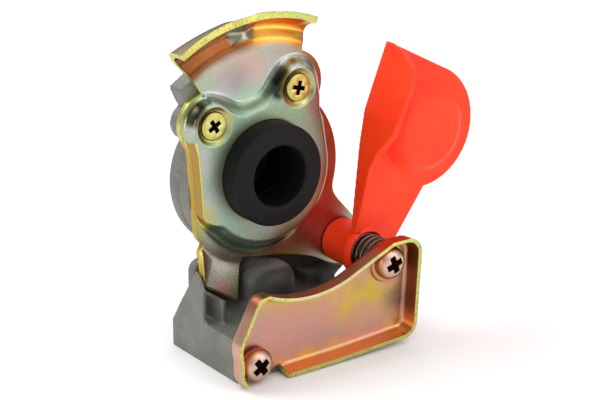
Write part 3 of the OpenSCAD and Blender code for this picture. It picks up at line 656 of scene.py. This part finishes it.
def plateRay(a, edge):
    # front of the sheet along one ray: radius and depth behind the plateau
    wall = wallShare(a)
    foot = min(np.interp(a, tableAngles, footTable, period=360),
               edge - plate["edgeMin"] * (1 - plate["wallEdge"] * wall))
    crest = min(np.interp(a, tableAngles, crestTable, period=360),
                foot - plate["shoulderMin"] * (1 - plate["wallSteep"] * wall))
    steps, rise, hole = plate["steps"], plate["rise"], plate["hole"]
    ray = [(hole + (crest - hole) * i / steps["flat"], 0.0) for i in range(steps["flat"] + 1)]
    for i in range(1, steps["shoulder"] + 1):
        q = i / steps["shoulder"]
        ray.append((crest + (foot - crest) * (q + plate["swell"] * math.sin(2 * math.pi * q)),
                    rise * (1 - math.cos(math.pi * q)) / 2))
    ray += [(foot + (edge - foot) * i / steps["brim"], rise) for i in range(1, steps["brim"] + 1)]
    if onTongue(a):
        far = min(leftLimit(a), lineReach(tongueLeft[1], tongueCorner, a))
        for i in range(1, steps["extra"] + 1):
            q = i / steps["extra"]
            ray.append((plate["tongueRoot"] + (far - plate["tongueRoot"]) * q,
                        rise - plate["tongueFlare"] * q ** plate["tonguePower"]))
    elif onLip(a):
        q = ((a - plate["lipFrom"]) / (plate["lipTo"] - plate["lipFrom"])) ** plate["lipPower"]
        step = (plate["lipLong"] + plate["lipMoreLong"] * q) / steps["extra"]
        off = abs(a - beadMiddle) / plate["beadHalf"]
        out, back = plate["lipRoot"], rise
        for i in range(1, steps["extra"] + 1):
            u = (i - 0.5) / steps["extra"]
            lean = (plate["lipBend"] + plate["lipMoreBend"] * q) * float(ramp(u, *plate["lipCurl"]))
            lean -= plate["lipDip"] * sind(360 * u) if u < 0.5 else 0
            out, back = out + step * cosd(lean), back - step * sind(lean)
            bead = plate["beadHigh"] * cosd(90 * off) ** 2 * sind(180 * i / steps["extra"]) if off < 1 else 0
            ray.append((out - bead * sind(lean), back - bead * cosd(lean)))
    else:
        ray += [ray[-1]] * steps["extra"]
    return ray


def plateBack(ray):
    steps, t = plate["steps"], plate["sheet"]
    flat, brimStart = steps["flat"], steps["flat"] + steps["shoulder"]
    brimEnd = brimStart + steps["brim"]
    shift = math.tan(math.radians(plate["lean"] / 2))
    back = []
    for i, (r, d) in enumerate(ray):
        if i <= brimEnd:
            w = ramp(i / flat, 0.7, 0.3) if i < flat else 1 - ramp(i, brimStart, steps["brim"])
            back.append((r - t * shift * float(w), d + t))
        else:
            before, after = ray[i - 1], ray[min(i + 1, len(ray) - 1)]
            slope = math.atan2(after[1] - before[1], after[0] - before[0])
            back.append((r - t * math.sin(slope), d + t * math.cos(slope)))
    return back


def plateRays():                         # the angle of each ray and its reach to the plate's edge
    gap, per = plate["gap"], plate["raysPerDegree"]
    spans = [(plate["lipFrom"], plate["lipTo"]), (plate["lipTo"] + gap, plate["tongueFrom"] - gap),
             (plate["tongueFrom"], plate["tongueTo"]),
             (plate["tongueTo"] + gap, 360 + plate["lipFrom"] - gap)]
    angles, edges = [], []
    for low, high in spans:
        some = np.linspace(low, high, int((high - low) * per) + 1)
        reach = np.array([edgeReach(a % 360) for a in some])
        angles += list(some)
        edges += list(blurred(reach, plate["edgeBlur"] * per, False))
    return angles, edges


def tintPlate(piece, angles, edges):
    s = plate["stainsAndPaintedLight"]
    co, way = pointsOf(piece), normalsOf(piece)
    x, z = co[:, 0], co[:, 2] - sealZ
    r, a = np.hypot(x, z), np.degrees(np.arctan2(z, x)) % 360
    turns = np.array(angles) % 360
    order = np.argsort(turns)
    edge = np.interp(a, turns[order], np.array(edges)[order], period=360)
    lip = (a > plate["lipFrom"] - 1) & (a < plate["lipTo"] + 1) & (r > s["lipR"])
    tongue = (a > plate["tongueFrom"] - 1) & (a < plate["tongueTo"] + 1) & (r > s["tongueR"])
    near = 1 - eased((edge - r) / s["edge"])
    near[lip] = s["lip"]
    near[tongue] = s["tongue"]
    for at in plateScrewAt:
        near = np.maximum(near, 1 - ramp(np.hypot(x - at[0], z - at[1]), *s["screw"]))
    near = np.maximum(near, s["hole"] * (1 - ramp(r, plate["hole"], s["holeFade"])))
    spreadValue(piece, "edgeStainAndRimShade", near)
    inside = lip & (-way[:, 1] - (way[:, 0] * x + way[:, 2] * z) / r > 0)
    bead = (1 - ramp(abs(a - beadMiddle), *s["bead"])) * ramp(r, *s["beadRise"])
    spreadValue(piece, "grooveShare", np.where(inside, ramp(r, *s["groove"]) * (1 - s["beadBare"] * bead), 0))
    spreadValue(piece, "outShare", lip & ~inside)
    flank = (x < s["flankX"]) & (abs(z - s["flankZ"]) < s["flankHalf"]) & (r < s["flankR"])
    turned = -way[:, 0]
    # crestShare: a painted highlight where the left flank bends
    crest = ramp(turned, *s["crestTurn"]) * (1 - ramp(turned, *s["crestEnd"]))
    spreadValue(piece, "flankShare", np.where(flank, ramp(turned, *s["flankTurn"]), 0))
    spreadValue(piece, "crestShare", np.where(flank, crest, 0))


def makePlate():
    angles, edges = plateRays()
    n = len(angles)
    fronts = [plateRay(a % 360, e) for a, e in zip(angles, edges)]
    rings = len(fronts[0])
    base = rings - plate["steps"]["extra"]
    floor, fade = plate["dimpleFloor"], plate["dimpleR"] - plate["dimpleFloor"]
    points = []
    for side in (fronts, [plateBack(ray) for ray in fronts]):
        for a, ray in zip(angles, side):
            for r, d in ray:
                x, z = r * cosd(a), r * sind(a)
                for s in plateScrewAt:   # the pressed dimple round each screw
                    off = math.hypot(x - s[0], z - s[1])
                    d += plate["dimpleDeep"] * (1 - float(ramp(off, floor, fade)))
                points.append((x, plate["plateauY"] + d, sealZ + z))

    def outer(i):
        a, b = angles[i % n], angles[(i + 1) % n]
        return ((onLip(a) and onLip(b)) or (onTongue(a) and onTongue(b))) and abs(a - b) < 5

    def has(i, k):
        return 0 <= k and (k < base - 1 or (k < rings - 1 and outer(i % n)))

    def front(i, k):
        return (i % n) * rings + k

    def back(i, k):
        return n * rings + front(i, k)

    faces, rim = [], []
    for i in range(n):
        for k in range(rings - 1):
            if not has(i, k):
                continue
            faces.append((front(i, k), front(i + 1, k), front(i + 1, k + 1), front(i, k + 1)))
            faces.append((back(i, k), back(i, k + 1), back(i + 1, k + 1), back(i + 1, k)))
            if k == 0:
                rim.append((front(i, 0), back(i, 0), back(i + 1, 0), front(i + 1, 0)))
            if not has(i, k + 1):
                rim.append((front(i, k + 1), front(i + 1, k + 1), back(i + 1, k + 1), back(i, k + 1)))
            if not has(i - 1, k):
                rim.append((front(i, k), front(i, k + 1), back(i, k + 1), back(i, k)))
            if not has(i + 1, k):
                rim.append((front(i + 1, k), back(i + 1, k), back(i + 1, k + 1), front(i + 1, k + 1)))
    piece = newPiece("guidePlate", points, faces + rim, finishes["plate"], finishes["edge"])
    piece.data.polygons.foreach_set("material_index", [0] * len(faces) + [1] * len(rim))
    tidy = bmesh.new()
    tidy.from_mesh(piece.data)
    bmesh.ops.delete(tidy, geom=[v for v in tidy.verts if not v.link_faces], context="VERTS")
    tidy.to_mesh(piece.data)
    tidy.free()
    near, far = plate["drill"]
    for at, r in [(s, plate["screwHole"]) for s in plateScrewAt] + [(pivotAt, plate["pivotHole"])]:
        profile = [(0.0, near), (r, near), (r, far), (0.0, far)]
        cutAway(piece, joinPoints(newPiece("cutter", *lathePoints(profile, 64, at, plate["plateauY"]))))
    roundEdges(piece, plate["edgeRound"], 3, 55, material=0)
    softShade(piece, 45)
    tintPlate(piece, angles, edges)
    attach(piece, "head")
    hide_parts("guide_plate")
    print("guide plate:", len(piece.data.polygons), "faces")


makePlate()


# Coding plate

tray = dict(
    face=-28.85, sheet=1.8, low=1.6 - sealZ, right=42.1, top=-24.5, corner=5.0, lowCorner=4.6,
    lowCornerIn=(6.0, 6.2), scoopAt=(-1.0, 6.2), scoopR=41.2, crestAt=(31.6, -24.5),
    shoulderAt=(-18.4, -35.45), shoulderR=4.0, sideAt=(-19.5, -48.0), sideR=8.8,
    footAt=(-21.5, 1.6 - sealZ + 4.5), footR=6.4, floorDrop=((-4.0, -1.4), (-0.8, -1.3), (3.6, -0.8)),
    gapRight=-10.2, sag=0.4, seam=0.05, bend=80.0, bendR=1.4, flange=5.6, inset=2.4, lead=0.35,
    bendSteps=8, climbSteps=5, thinEdge=0.4, lowThin=0.25, edgeRound=0.42, longEdge=6.0,
    bosses=((trayScrewAt, 4.2), (pivotAt, 6.8)), bossHole=2.0, bossRise=1.2, bossFoot=-0.6,
    grooveFrom=(2, 6), bossStain=0.15, edgeStain=0.8, edgeFade=(2.5, 5),
)


def arc(c, r, start, end, steps):
    turns = [start + (end - start) * i / steps for i in range(steps + 1)]
    return [(c[0] + r * cosd(a), c[1] + r * sind(a)) for a in turns]


def trayPath():
    t = tray
    low, seam = t["low"], t["seam"]
    turn = arc((t["right"] - t["corner"], t["top"] - t["corner"]), t["corner"], 0, 90, 16)
    bent = [t["crestAt"]] + arc(t["scoopAt"], t["scoopR"], -70, -111, 30)
    bent += arc(t["shoulderAt"], t["shoulderR"], 65, 150, 14) + arc(t["sideAt"], t["sideR"], 160, 200, 10)
    bent += arc(t["footAt"], t["footR"], 190, 226, 8)
    flat = [(bent[-1][0] + seam, bent[-1][1] - seam)]
    flat += [(trayScrewAt[0] + dx, low + dz) for dx, dz in t["floorDrop"]]
    flat += [(t["gapRight"] - seam, low)]
    bottom = [(t["gapRight"], low), (0, low + t["sag"] / 2), (12, low + t["sag"])]
    bottom += arc((t["right"] - t["lowCornerIn"][0], low + t["lowCornerIn"][1]), t["lowCorner"], 275, 355, 14)
    # x and z, whether the edge is bent there, and how far its rim is thinned
    return ([(*p, 1, i / (len(turn) - 1)) for i, p in enumerate(turn)] + [(*p, 1, 1) for p in bent]
            + [(*p, 0, 1) for p in flat] + [(*p, 1, t["lowThin"]) for p in bottom])


def traySection(bent, thin):             # reach outward and forward, up the inside and down the outside
    t = tray
    turn = math.radians(t["bend"] * bent)
    steps, climb = t["bendSteps"], t["climbSteps"]
    inner = []
    for i in range(steps + 1):
        b = turn * i / steps
        inner.append((t["bendR"] * math.sin(b), t["bendR"] * (1 - math.cos(b)), b) if bent
                     else (t["lead"] * i / steps, 0.0, 0.0))
    straight = t["flange"] - t["bendR"] if bent else t["lead"]
    for i in range(1, climb + 1):
        inner.append((inner[steps][0] + straight * i / climb * math.cos(turn),
                      inner[steps][1] + straight * i / climb * math.sin(turn), turn))
    loss = t["thinEdge"] * thin
    thick = [t["sheet"] * (1 - loss * max(0, i - steps) / climb) for i in range(len(inner))]
    outer = [(u + d * math.sin(b), f - d * math.cos(b)) for d, (u, f, b) in zip(thick, inner)]
    return [(u, f) for u, f, b in inner] + outer[::-1]


def makeTray():
    t = tray
    path = trayPath()
    n = len(path)

    def outward(i):
        before = 1 if path[i - 1][2] == path[i][2] else 2
        after = 1 if path[(i + 1) % n][2] == path[i][2] else 2
        d = np.subtract(path[i][:2], path[i - before][:2])
        e = np.subtract(path[(i + after) % n][:2], path[i][:2])
        s = d / np.linalg.norm(d) + e / np.linalg.norm(e)
        return np.array([s[1], -s[0]]) / np.linalg.norm(s)

    m = len(traySection(1, 1))
    half = m // 2
    points, groove, out = [], [], []
    for i, (x, z, bent, thin) in enumerate(path):
        way = outward(i)
        for k, (u, f) in enumerate(traySection(bent, thin)):
            off = u - t["inset"]
            points.append((x + way[0] * off, t["face"] - f, sealZ + z + way[1] * off))
            groove.append(float(ramp(k, *t["grooveFrom"])) if bent and k < half else 0.0)
            out.append(1.0 if bent and k >= half else 0.0)
    faces, rim = [], []
    for i in range(n):
        j = (i + 1) % n
        for k in range(m - 1):
            cell = (i * m + k, i * m + k + 1, j * m + k + 1, j * m + k)
            (rim if k == half - 1 or path[i][2] != path[j][2] and k > 2 else faces).append(cell)
    faces.append(tuple(i * m for i in range(n - 1, -1, -1)))
    faces.append(tuple(i * m + m - 1 for i in range(n)))
    count = len(points)
    bossFaces = []
    hole, rise, foot = t["bossHole"], t["bossRise"], t["bossFoot"]
    for at, r in t["bosses"]:            # raised seats under both screw heads
        profile = [(hole, rise), (r - 0.5, rise), (r - 0.15, rise - 0.12), (r, rise - 0.45),
                   (r + 0.1, 0.25), (r + 0.5, -0.1), (r + 0.5, foot), (hole, foot)]
        some, cells = lathePoints(profile + profile[:1], 72, at, t["face"])
        bossFaces += [tuple(v + len(points) for v in c) for c in cells]
        points += some
    groove += [t["bossStain"]] * (len(points) - count)
    out += [0.0] * (len(points) - count)
    piece = newPiece("codingPlate", points, faces + rim + bossFaces, finishes["tray"], finishes["edge"])
    slots = [0] * len(faces) + [1] * len(rim) + [0] * len(bossFaces)
    piece.data.polygons.foreach_set("material_index", slots)
    spreadValue(piece, "grooveShare", groove)
    spreadValue(piece, "outShare", out)
    tidy = bmesh.new()
    tidy.from_mesh(piece.data)
    bmesh.ops.remove_doubles(tidy, verts=tidy.verts, dist=weld)
    bmesh.ops.triangulate(tidy, faces=[f for f in tidy.faces if len(f.verts) > 4])
    longEdges = [e for e in tidy.edges if e.calc_length() > t["longEdge"] * mm]
    bmesh.ops.subdivide_edges(tidy, edges=longEdges, cuts=3)
    bmesh.ops.triangulate(tidy, faces=[f for f in tidy.faces if len(f.verts) > 4])
    bmesh.ops.recalc_face_normals(tidy, faces=tidy.faces)
    tidy.to_mesh(piece.data)
    tidy.free()
    roundEdges(piece, t["edgeRound"], 3, 55, material=0)
    softShade(piece, 45)
    co = pointsOf(piece)
    ring = np.array([[p[0], p[1]] for p in path])
    gap = np.min(np.hypot(co[:, None, 0] - ring[None, :, 0], co[:, None, 2] - sealZ - ring[None, :, 1]), 1)
    spreadValue(piece, "edgeStainAndRimShade", (1 - ramp(gap, *t["edgeFade"])) * t["edgeStain"])
    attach(piece, "head")
    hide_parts("coding_plate")
    print("coding plate:", len(piece.data.polygons), "faces")


makeTray()


# Casting and the thread in its inlet

# recessShadeStrength and the recess box set the painted shade on the casting's forward faces under the plates
casting = dict(
    voxel=0.6, rounds=6, chamberR=11.0, chamberBack=7.5, recessX=(-21.0, 36.0), recessZ=(4.0, 42.0),
    recessFront=-23.0, recessEase=dict(x=2, front=3, low=3, high=4), recessShadeStrength=0.85, recessFacing=(0.2, 0.4),
)
thread = dict(r=7.25, root=0.35, rootHalf=0.55, deep=0.75, tipHalf=0.12, pitch=1.5, turns=8.5,
              startZ=1.2, stepsPerTurn=40, fadeSteps=14)


def makeCasting():
    c = casting
    piece = moulded("casting", "body", c["voxel"], c["rounds"], finishes["cast"])
    x, y, z = pointsOf(piece).T
    # painted shade: near black inside the chamber behind the seal's bore
    spreadValue(piece, "chamberShadeShare", (np.hypot(x, z - sealZ) < c["chamberR"]) & (y < c["chamberBack"]))
    # painted shade on the forward faces inside the recess under the plates
    (left, right), (low, high), ease = c["recessX"], c["recessZ"], c["recessEase"]
    shadedRecess = ramp(x, left, ease["x"]) * eased((right - x) / ease["x"])
    shadedRecess *= ramp(y, c["recessFront"], ease["front"])
    shadedRecess *= ramp(z, low, ease["low"]) * eased((high - z) / ease["high"])
    facing = ramp(-normalsOf(piece)[:, 1], *c["recessFacing"])
    spreadValue(piece, "recessShadeShare", c["recessShadeStrength"] * shadedRecess * facing)
    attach(piece, "head")
    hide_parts("body")
    print("casting:", len(piece.data.polygons), "faces")


def makePortThread():
    t = thread
    section = [(t["root"], -t["rootHalf"]), (-t["deep"], -t["tipHalf"]), (-t["deep"], t["tipHalf"]),
               (t["root"], t["rootHalf"])]
    per = t["stepsPerTurn"]
    steps = int(t["turns"] * per)
    points = []
    for i in range(steps + 1):
        a = 2 * math.pi * i / per
        fade = min(1, i / t["fadeSteps"], (steps - i) / t["fadeSteps"])
        for r, h in section:
            reach = t["r"] + (r * fade if r < 0 else r)
            points.append((reach * math.cos(a), reach * math.sin(a), t["startZ"] + t["pitch"] * i / per + h))
    piece = newPiece("portThread", points, tubeFaces(steps, len(section)), finishes["cast"])
    softShade(piece, 30)
    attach(piece, "head")
    print("thread made")


makeCasting()
makePortThread()


# Seal

seal = dict(outer=17.0, bore=10.0, flange=18.0, flangeBack=3.0, flangeFront=-0.05, front=10.2, fall=0.9,
            edge=1.1, backY=-4.8)


def makeSeal():
    s = seal
    outer, bore, front, fall, edge = s["outer"], s["bore"], s["front"], s["fall"], s["edge"]
    profile = [(bore, -s["flangeBack"]), (s["flange"], -s["flangeBack"]), (s["flange"], s["flangeFront"]),
               (outer, s["flangeFront"])]
    profile += [(outer, h) for h in np.linspace(0.6, front - edge - fall, 6)]
    profile += [(outer - edge * (1 - cosd(b)), front - fall - edge * (1 - sind(b))) for b in (15, 35, 55, 75)]
    profile += [(r, front - fall * (r - bore - edge) / (outer - bore - 2 * edge))
                for r in np.linspace(outer - edge, bore + edge, 9)]
    profile += [(bore + edge * (1 - sind(b)), front - edge * (1 - cosd(b))) for b in (20, 45, 70)]
    profile += [(bore, h) for h in np.linspace(front - edge, -s["flangeBack"], 7)]
    piece = newPiece("sealRing", *lathePoints(profile, 128, (0, 0), s["backY"]), finishes["rubber"])
    joinPoints(piece)
    softShade(piece, 35)
    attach(piece, "head")
    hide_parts("seal_ring")
    print("seal made")


makeSeal()


# Screws: two countersunk ones in the guide plate, two pan heads on the tray

sunkScrew = dict(head=4.6, shank=2.5, long=14.0, faceY=-7.0, recess=5.2, arm=1.6, deep=2.1, turns=(30, -15))
panScrew = dict(
    head=5.6, high=3.6, shank=3.0, seatY=-30.1, foot=0.12, recess=6.8, arm=2.5, deep=2.6,
    dome=((0.3, 0.985), (0.52, 0.93), (0.72, 0.82), (0.88, 0.64), (0.97, 0.42), (1.0, 0.24)),
)
anyScrew = dict(tip=0.6, edgeRound=0.14, recessWide=0.55, recessOver=0.3, recessFloor=0.8, steep=0.8,
                headDeep=3.0, rim=(0.72, 0.2))


def crossCutter(at, topY, screw, turn):
    # the driver's cross, smaller towards its bottom
    size, arm, deep = screw["recess"], screw["arm"], screw["deep"]
    points, n = [], 12
    levels = ((-1.0, size, arm), (deep * 0.5, size * 0.84, arm * 0.84), (deep, size * 0.44, arm * 0.6))
    for depth, long, wide in levels:
        quarter = ((long / 2, wide / 2), (wide / 2, wide / 2), (wide / 2, long / 2))
        for k in range(4):
            c, s = cosd(turn + 90 * k), sind(turn + 90 * k)
            points += [(at[0] + x * c - z * s, topY + depth, sealZ + at[1] + x * s + z * c)
                       for x, z in quarter]
    faces = [tuple(range(n)), tuple(range(3 * n - 1, 2 * n - 1, -1))]
    for k in (0, 1):
        for i in range(n):
            j = (i + 1) % n
            faces.append((k * n + i, (k + 1) * n + i, (k + 1) * n + j, k * n + j))
    return joinPoints(newPiece("crossCutter", points, faces))


def shankProfile(r, long):
    return [(r, -long + anyScrew["tip"]), (r - anyScrew["tip"], -long), (0.0, -long)]


def makeScrewPiece(name, profile, at, frontY, topY, screw, turn, look):
    s = anyScrew
    piece = newPiece(name, *lathePoints(profile, 72, at, frontY), look, finishes["recess"])
    joinPoints(piece)
    cutAway(piece, crossCutter(at, topY, screw, turn))
    roundEdges(piece, s["edgeRound"], 2, 40)
    softShade(piece, 35)
    wide, deep = screw["recess"] * s["recessWide"], screw["deep"]
    for face in piece.data.polygons:     # the driver's recess gets the painted-shade material
        x, y, z = face.center / mm
        near, below = math.hypot(x - at[0], z - sealZ - at[1]) < wide, y - topY
        wall = abs(face.normal[1]) < s["steep"] or below > deep * s["recessFloor"]
        face.material_index = int(near and below < deep + s["recessOver"] and wall)
    # painted shade and reflection: the head's outer ring is marked for a darker colour
    co = pointsOf(piece)
    r = np.hypot(co[:, 0] - at[0], co[:, 2] - sealZ - at[1])
    head = max(r[co[:, 1] < topY + s["headDeep"]])
    spreadValue(piece, "edgeStainAndRimShade", ramp(r / head, *s["rim"]))
    return piece


def makeSunkScrews():
    s = sunkScrew
    h, shank = s["head"], s["shank"]
    profile = [(0.0, 0.0), (h - 0.5, 0.0), (h - 0.2, -0.06), (h, -0.25), (shank, -(h - shank) - 0.1)]
    profile += shankProfile(shank, s["long"])
    for i, at in enumerate(plateScrewAt):
        piece = makeScrewPiece(f"plateScrew{i}", profile, at, s["faceY"], s["faceY"], s, s["turns"][i],
                               finishes["gold"])
        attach(piece, "head")
        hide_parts("guide_plate_screws")


def makePanScrews():
    s = panScrew
    high, r, seatY = s["high"], s["head"], s["seatY"]
    for name, node, at, endY, turn in (("trayScrew", "coding_plate_screw", trayScrewAt, -17.0, 35),
                                       ("pivotScrew", "cap_pivot_screw", pivotAt, 10.25, 20)):
        profile = [(0.0, high)] + [(r * u, high * v) for u, v in s["dome"]]
        profile += [(r, s["foot"]), (r - s["foot"], 0.0), (s["shank"], 0.0)]
        profile += shankProfile(s["shank"], endY - seatY)
        piece = makeScrewPiece(name, profile, at, seatY, seatY - high, s, turn, finishes["pink"])
        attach(piece, "head")
        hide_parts(node)


makeSunkScrews()
makePanScrews()
print("screws made")


# Dust cap, its spring and bush

cap = dict(voxel=0.34, rounds=9, domeAt=(55.44, 7.32), domeHigh=5.0, domeTop=13.6, domeFoot=17.0,
           softTop=10.8, softFoot=18.4)
spring = dict(wire=0.55, coil=6.0, turns=4.0, startY=-16.95, endY=-26.45, stepsPerTurn=56, sides=14)


def makeCap():
    c = cap
    piece = moulded("dustCap", "cap", c["voxel"], c["rounds"], finishes["plastic"])
    co = pointsOf(piece)                 # the dome's edge is rounder than the CAD's cone
    r = np.hypot(co[:, 0] - c["domeAt"][0], co[:, 2] - sealZ - c["domeAt"][1])
    straight = np.clip((c["domeFoot"] - r) / (c["domeFoot"] - c["domeTop"]), 0, 1)
    rounded = 1 - ramp(r, c["softTop"], c["softFoot"] - c["softTop"])
    co[:, 1] -= c["domeHigh"] * (rounded - straight)
    piece.data.vertices.foreach_set("co", (co * mm).ravel())
    piece.data.update()
    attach(piece, "dust_cap")
    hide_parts("cap")
    print("dust cap:", len(piece.data.polygons), "faces")


def makeSpring():
    s = spring
    per, sides, wire = s["stepsPerTurn"], s["sides"], s["wire"]
    steps = int(s["turns"] * per)
    points = []
    for i in range(steps + 1):
        a = 2 * math.pi * i / per
        y = s["startY"] + (s["endY"] - s["startY"]) * i / steps
        for k in range(sides):
            b = 2 * math.pi * k / sides
            r = s["coil"] + wire * math.cos(b)
            points.append((pivotAt[0] + r * math.cos(a), y + wire * math.sin(b),
                           sealZ + pivotAt[1] + r * math.sin(a)))
    piece = newPiece("capSpring", points, tubeFaces(steps, sides), finishes["wire"])
    softShade(piece, 50)
    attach(piece, "head")
    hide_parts("cap_spring")
    print("spring made")


makeCap()
makeSpring()
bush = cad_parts["pivot_bush"]
bush.data.materials.clear()
bush.data.materials.append(finishes["bush"])


# Floor and light

stage = dict(
    floorSide=6.0, floorTone=0.93, low=0.22, high=1.25, fullHeight=0.75,
    flagWay=(-0.78, -0.18, 0.6), flagDark=-0.8, flagEdge=(0.78, 0.95),
    lamps=(                              # name, place and aim in metres, size, watts
        ("keyLamp", (-0.4, 0.45, 0.9), (0, 0, 0.05), 0.6, 4.0),
        ("fillLamp", (0.2, -0.8, 0.6), (0, 0, 0.05), 0.4, 1.0),
        ("sideLamp", (-0.85, -0.45, 0.22), (0.03, 0, 0.07), 0.35, 2.0),
        ("lowLamp", (0.55, -0.85, 0.2), (0, 0, 0.03), 0.4, 1.2),
    ),
)


def makeFloor():
    half, tone = stage["floorSide"] / 2, stage["floorTone"]
    mesh = bpy.data.meshes.new("floor")
    corners = [(-half, -half, 0), (half, -half, 0), (half, half, 0), (-half, half, 0)]
    mesh.from_pydata(corners, [], [(0, 1, 2, 3)])
    material, w = startFinish("paleFloor")
    endFinish(material, w, Base_Color=(tone, tone, tone, 1), Roughness=0.9, Specular_IOR_Level=0.1)
    floor = asPiece("floor", mesh, material)


def makeLamp(name, at, aim, size, watts):
    lamp = bpy.data.objects.new(name, bpy.data.lights.new(name, "AREA"))
    lamp.data.size = size
    lamp.data.energy = watts
    lamp.location = at
    lamp.rotation_euler = (Vector(aim) - Vector(at)).to_track_quat("-Z", "Y").to_euler()
    scene.collection.objects.link(lamp)


def makeWorld():                         # bright above, dim below, with a dark flag at the upper left
    world = bpy.data.worlds.new("studio")
    scene.world = world
    world.use_nodes = True
    world.node_tree.nodes.clear()
    w = Wire(world.node_tree)
    way = w.node("ShaderNodeTexCoord", out=0)
    height = w.node("ShaderNodeSeparateXYZ", None, {0: way}, out=2)
    strength = stage["low"] + (stage["high"] - stage["low"]) * height.between(0.0, stage["fullHeight"])
    flag = w.node("ShaderNodeVectorMath", {"operation": "DOT_PRODUCT"}, {0: way, 1: stage["flagWay"]}, out=1)
    strength = strength * (1.0 + stage["flagDark"] * flag.between(*stage["flagEdge"]))
    light = w.node("ShaderNodeBackground", None, {"Color": (1, 1, 1, 1), "Strength": strength})
    w.node("ShaderNodeOutputWorld", None, {"Surface": light})


makeFloor()
makeWorld()
for lampSettings in stage["lamps"]:
    makeLamp(*lampSettings)
scene.view_settings.view_transform = "Standard"
print("stage set")
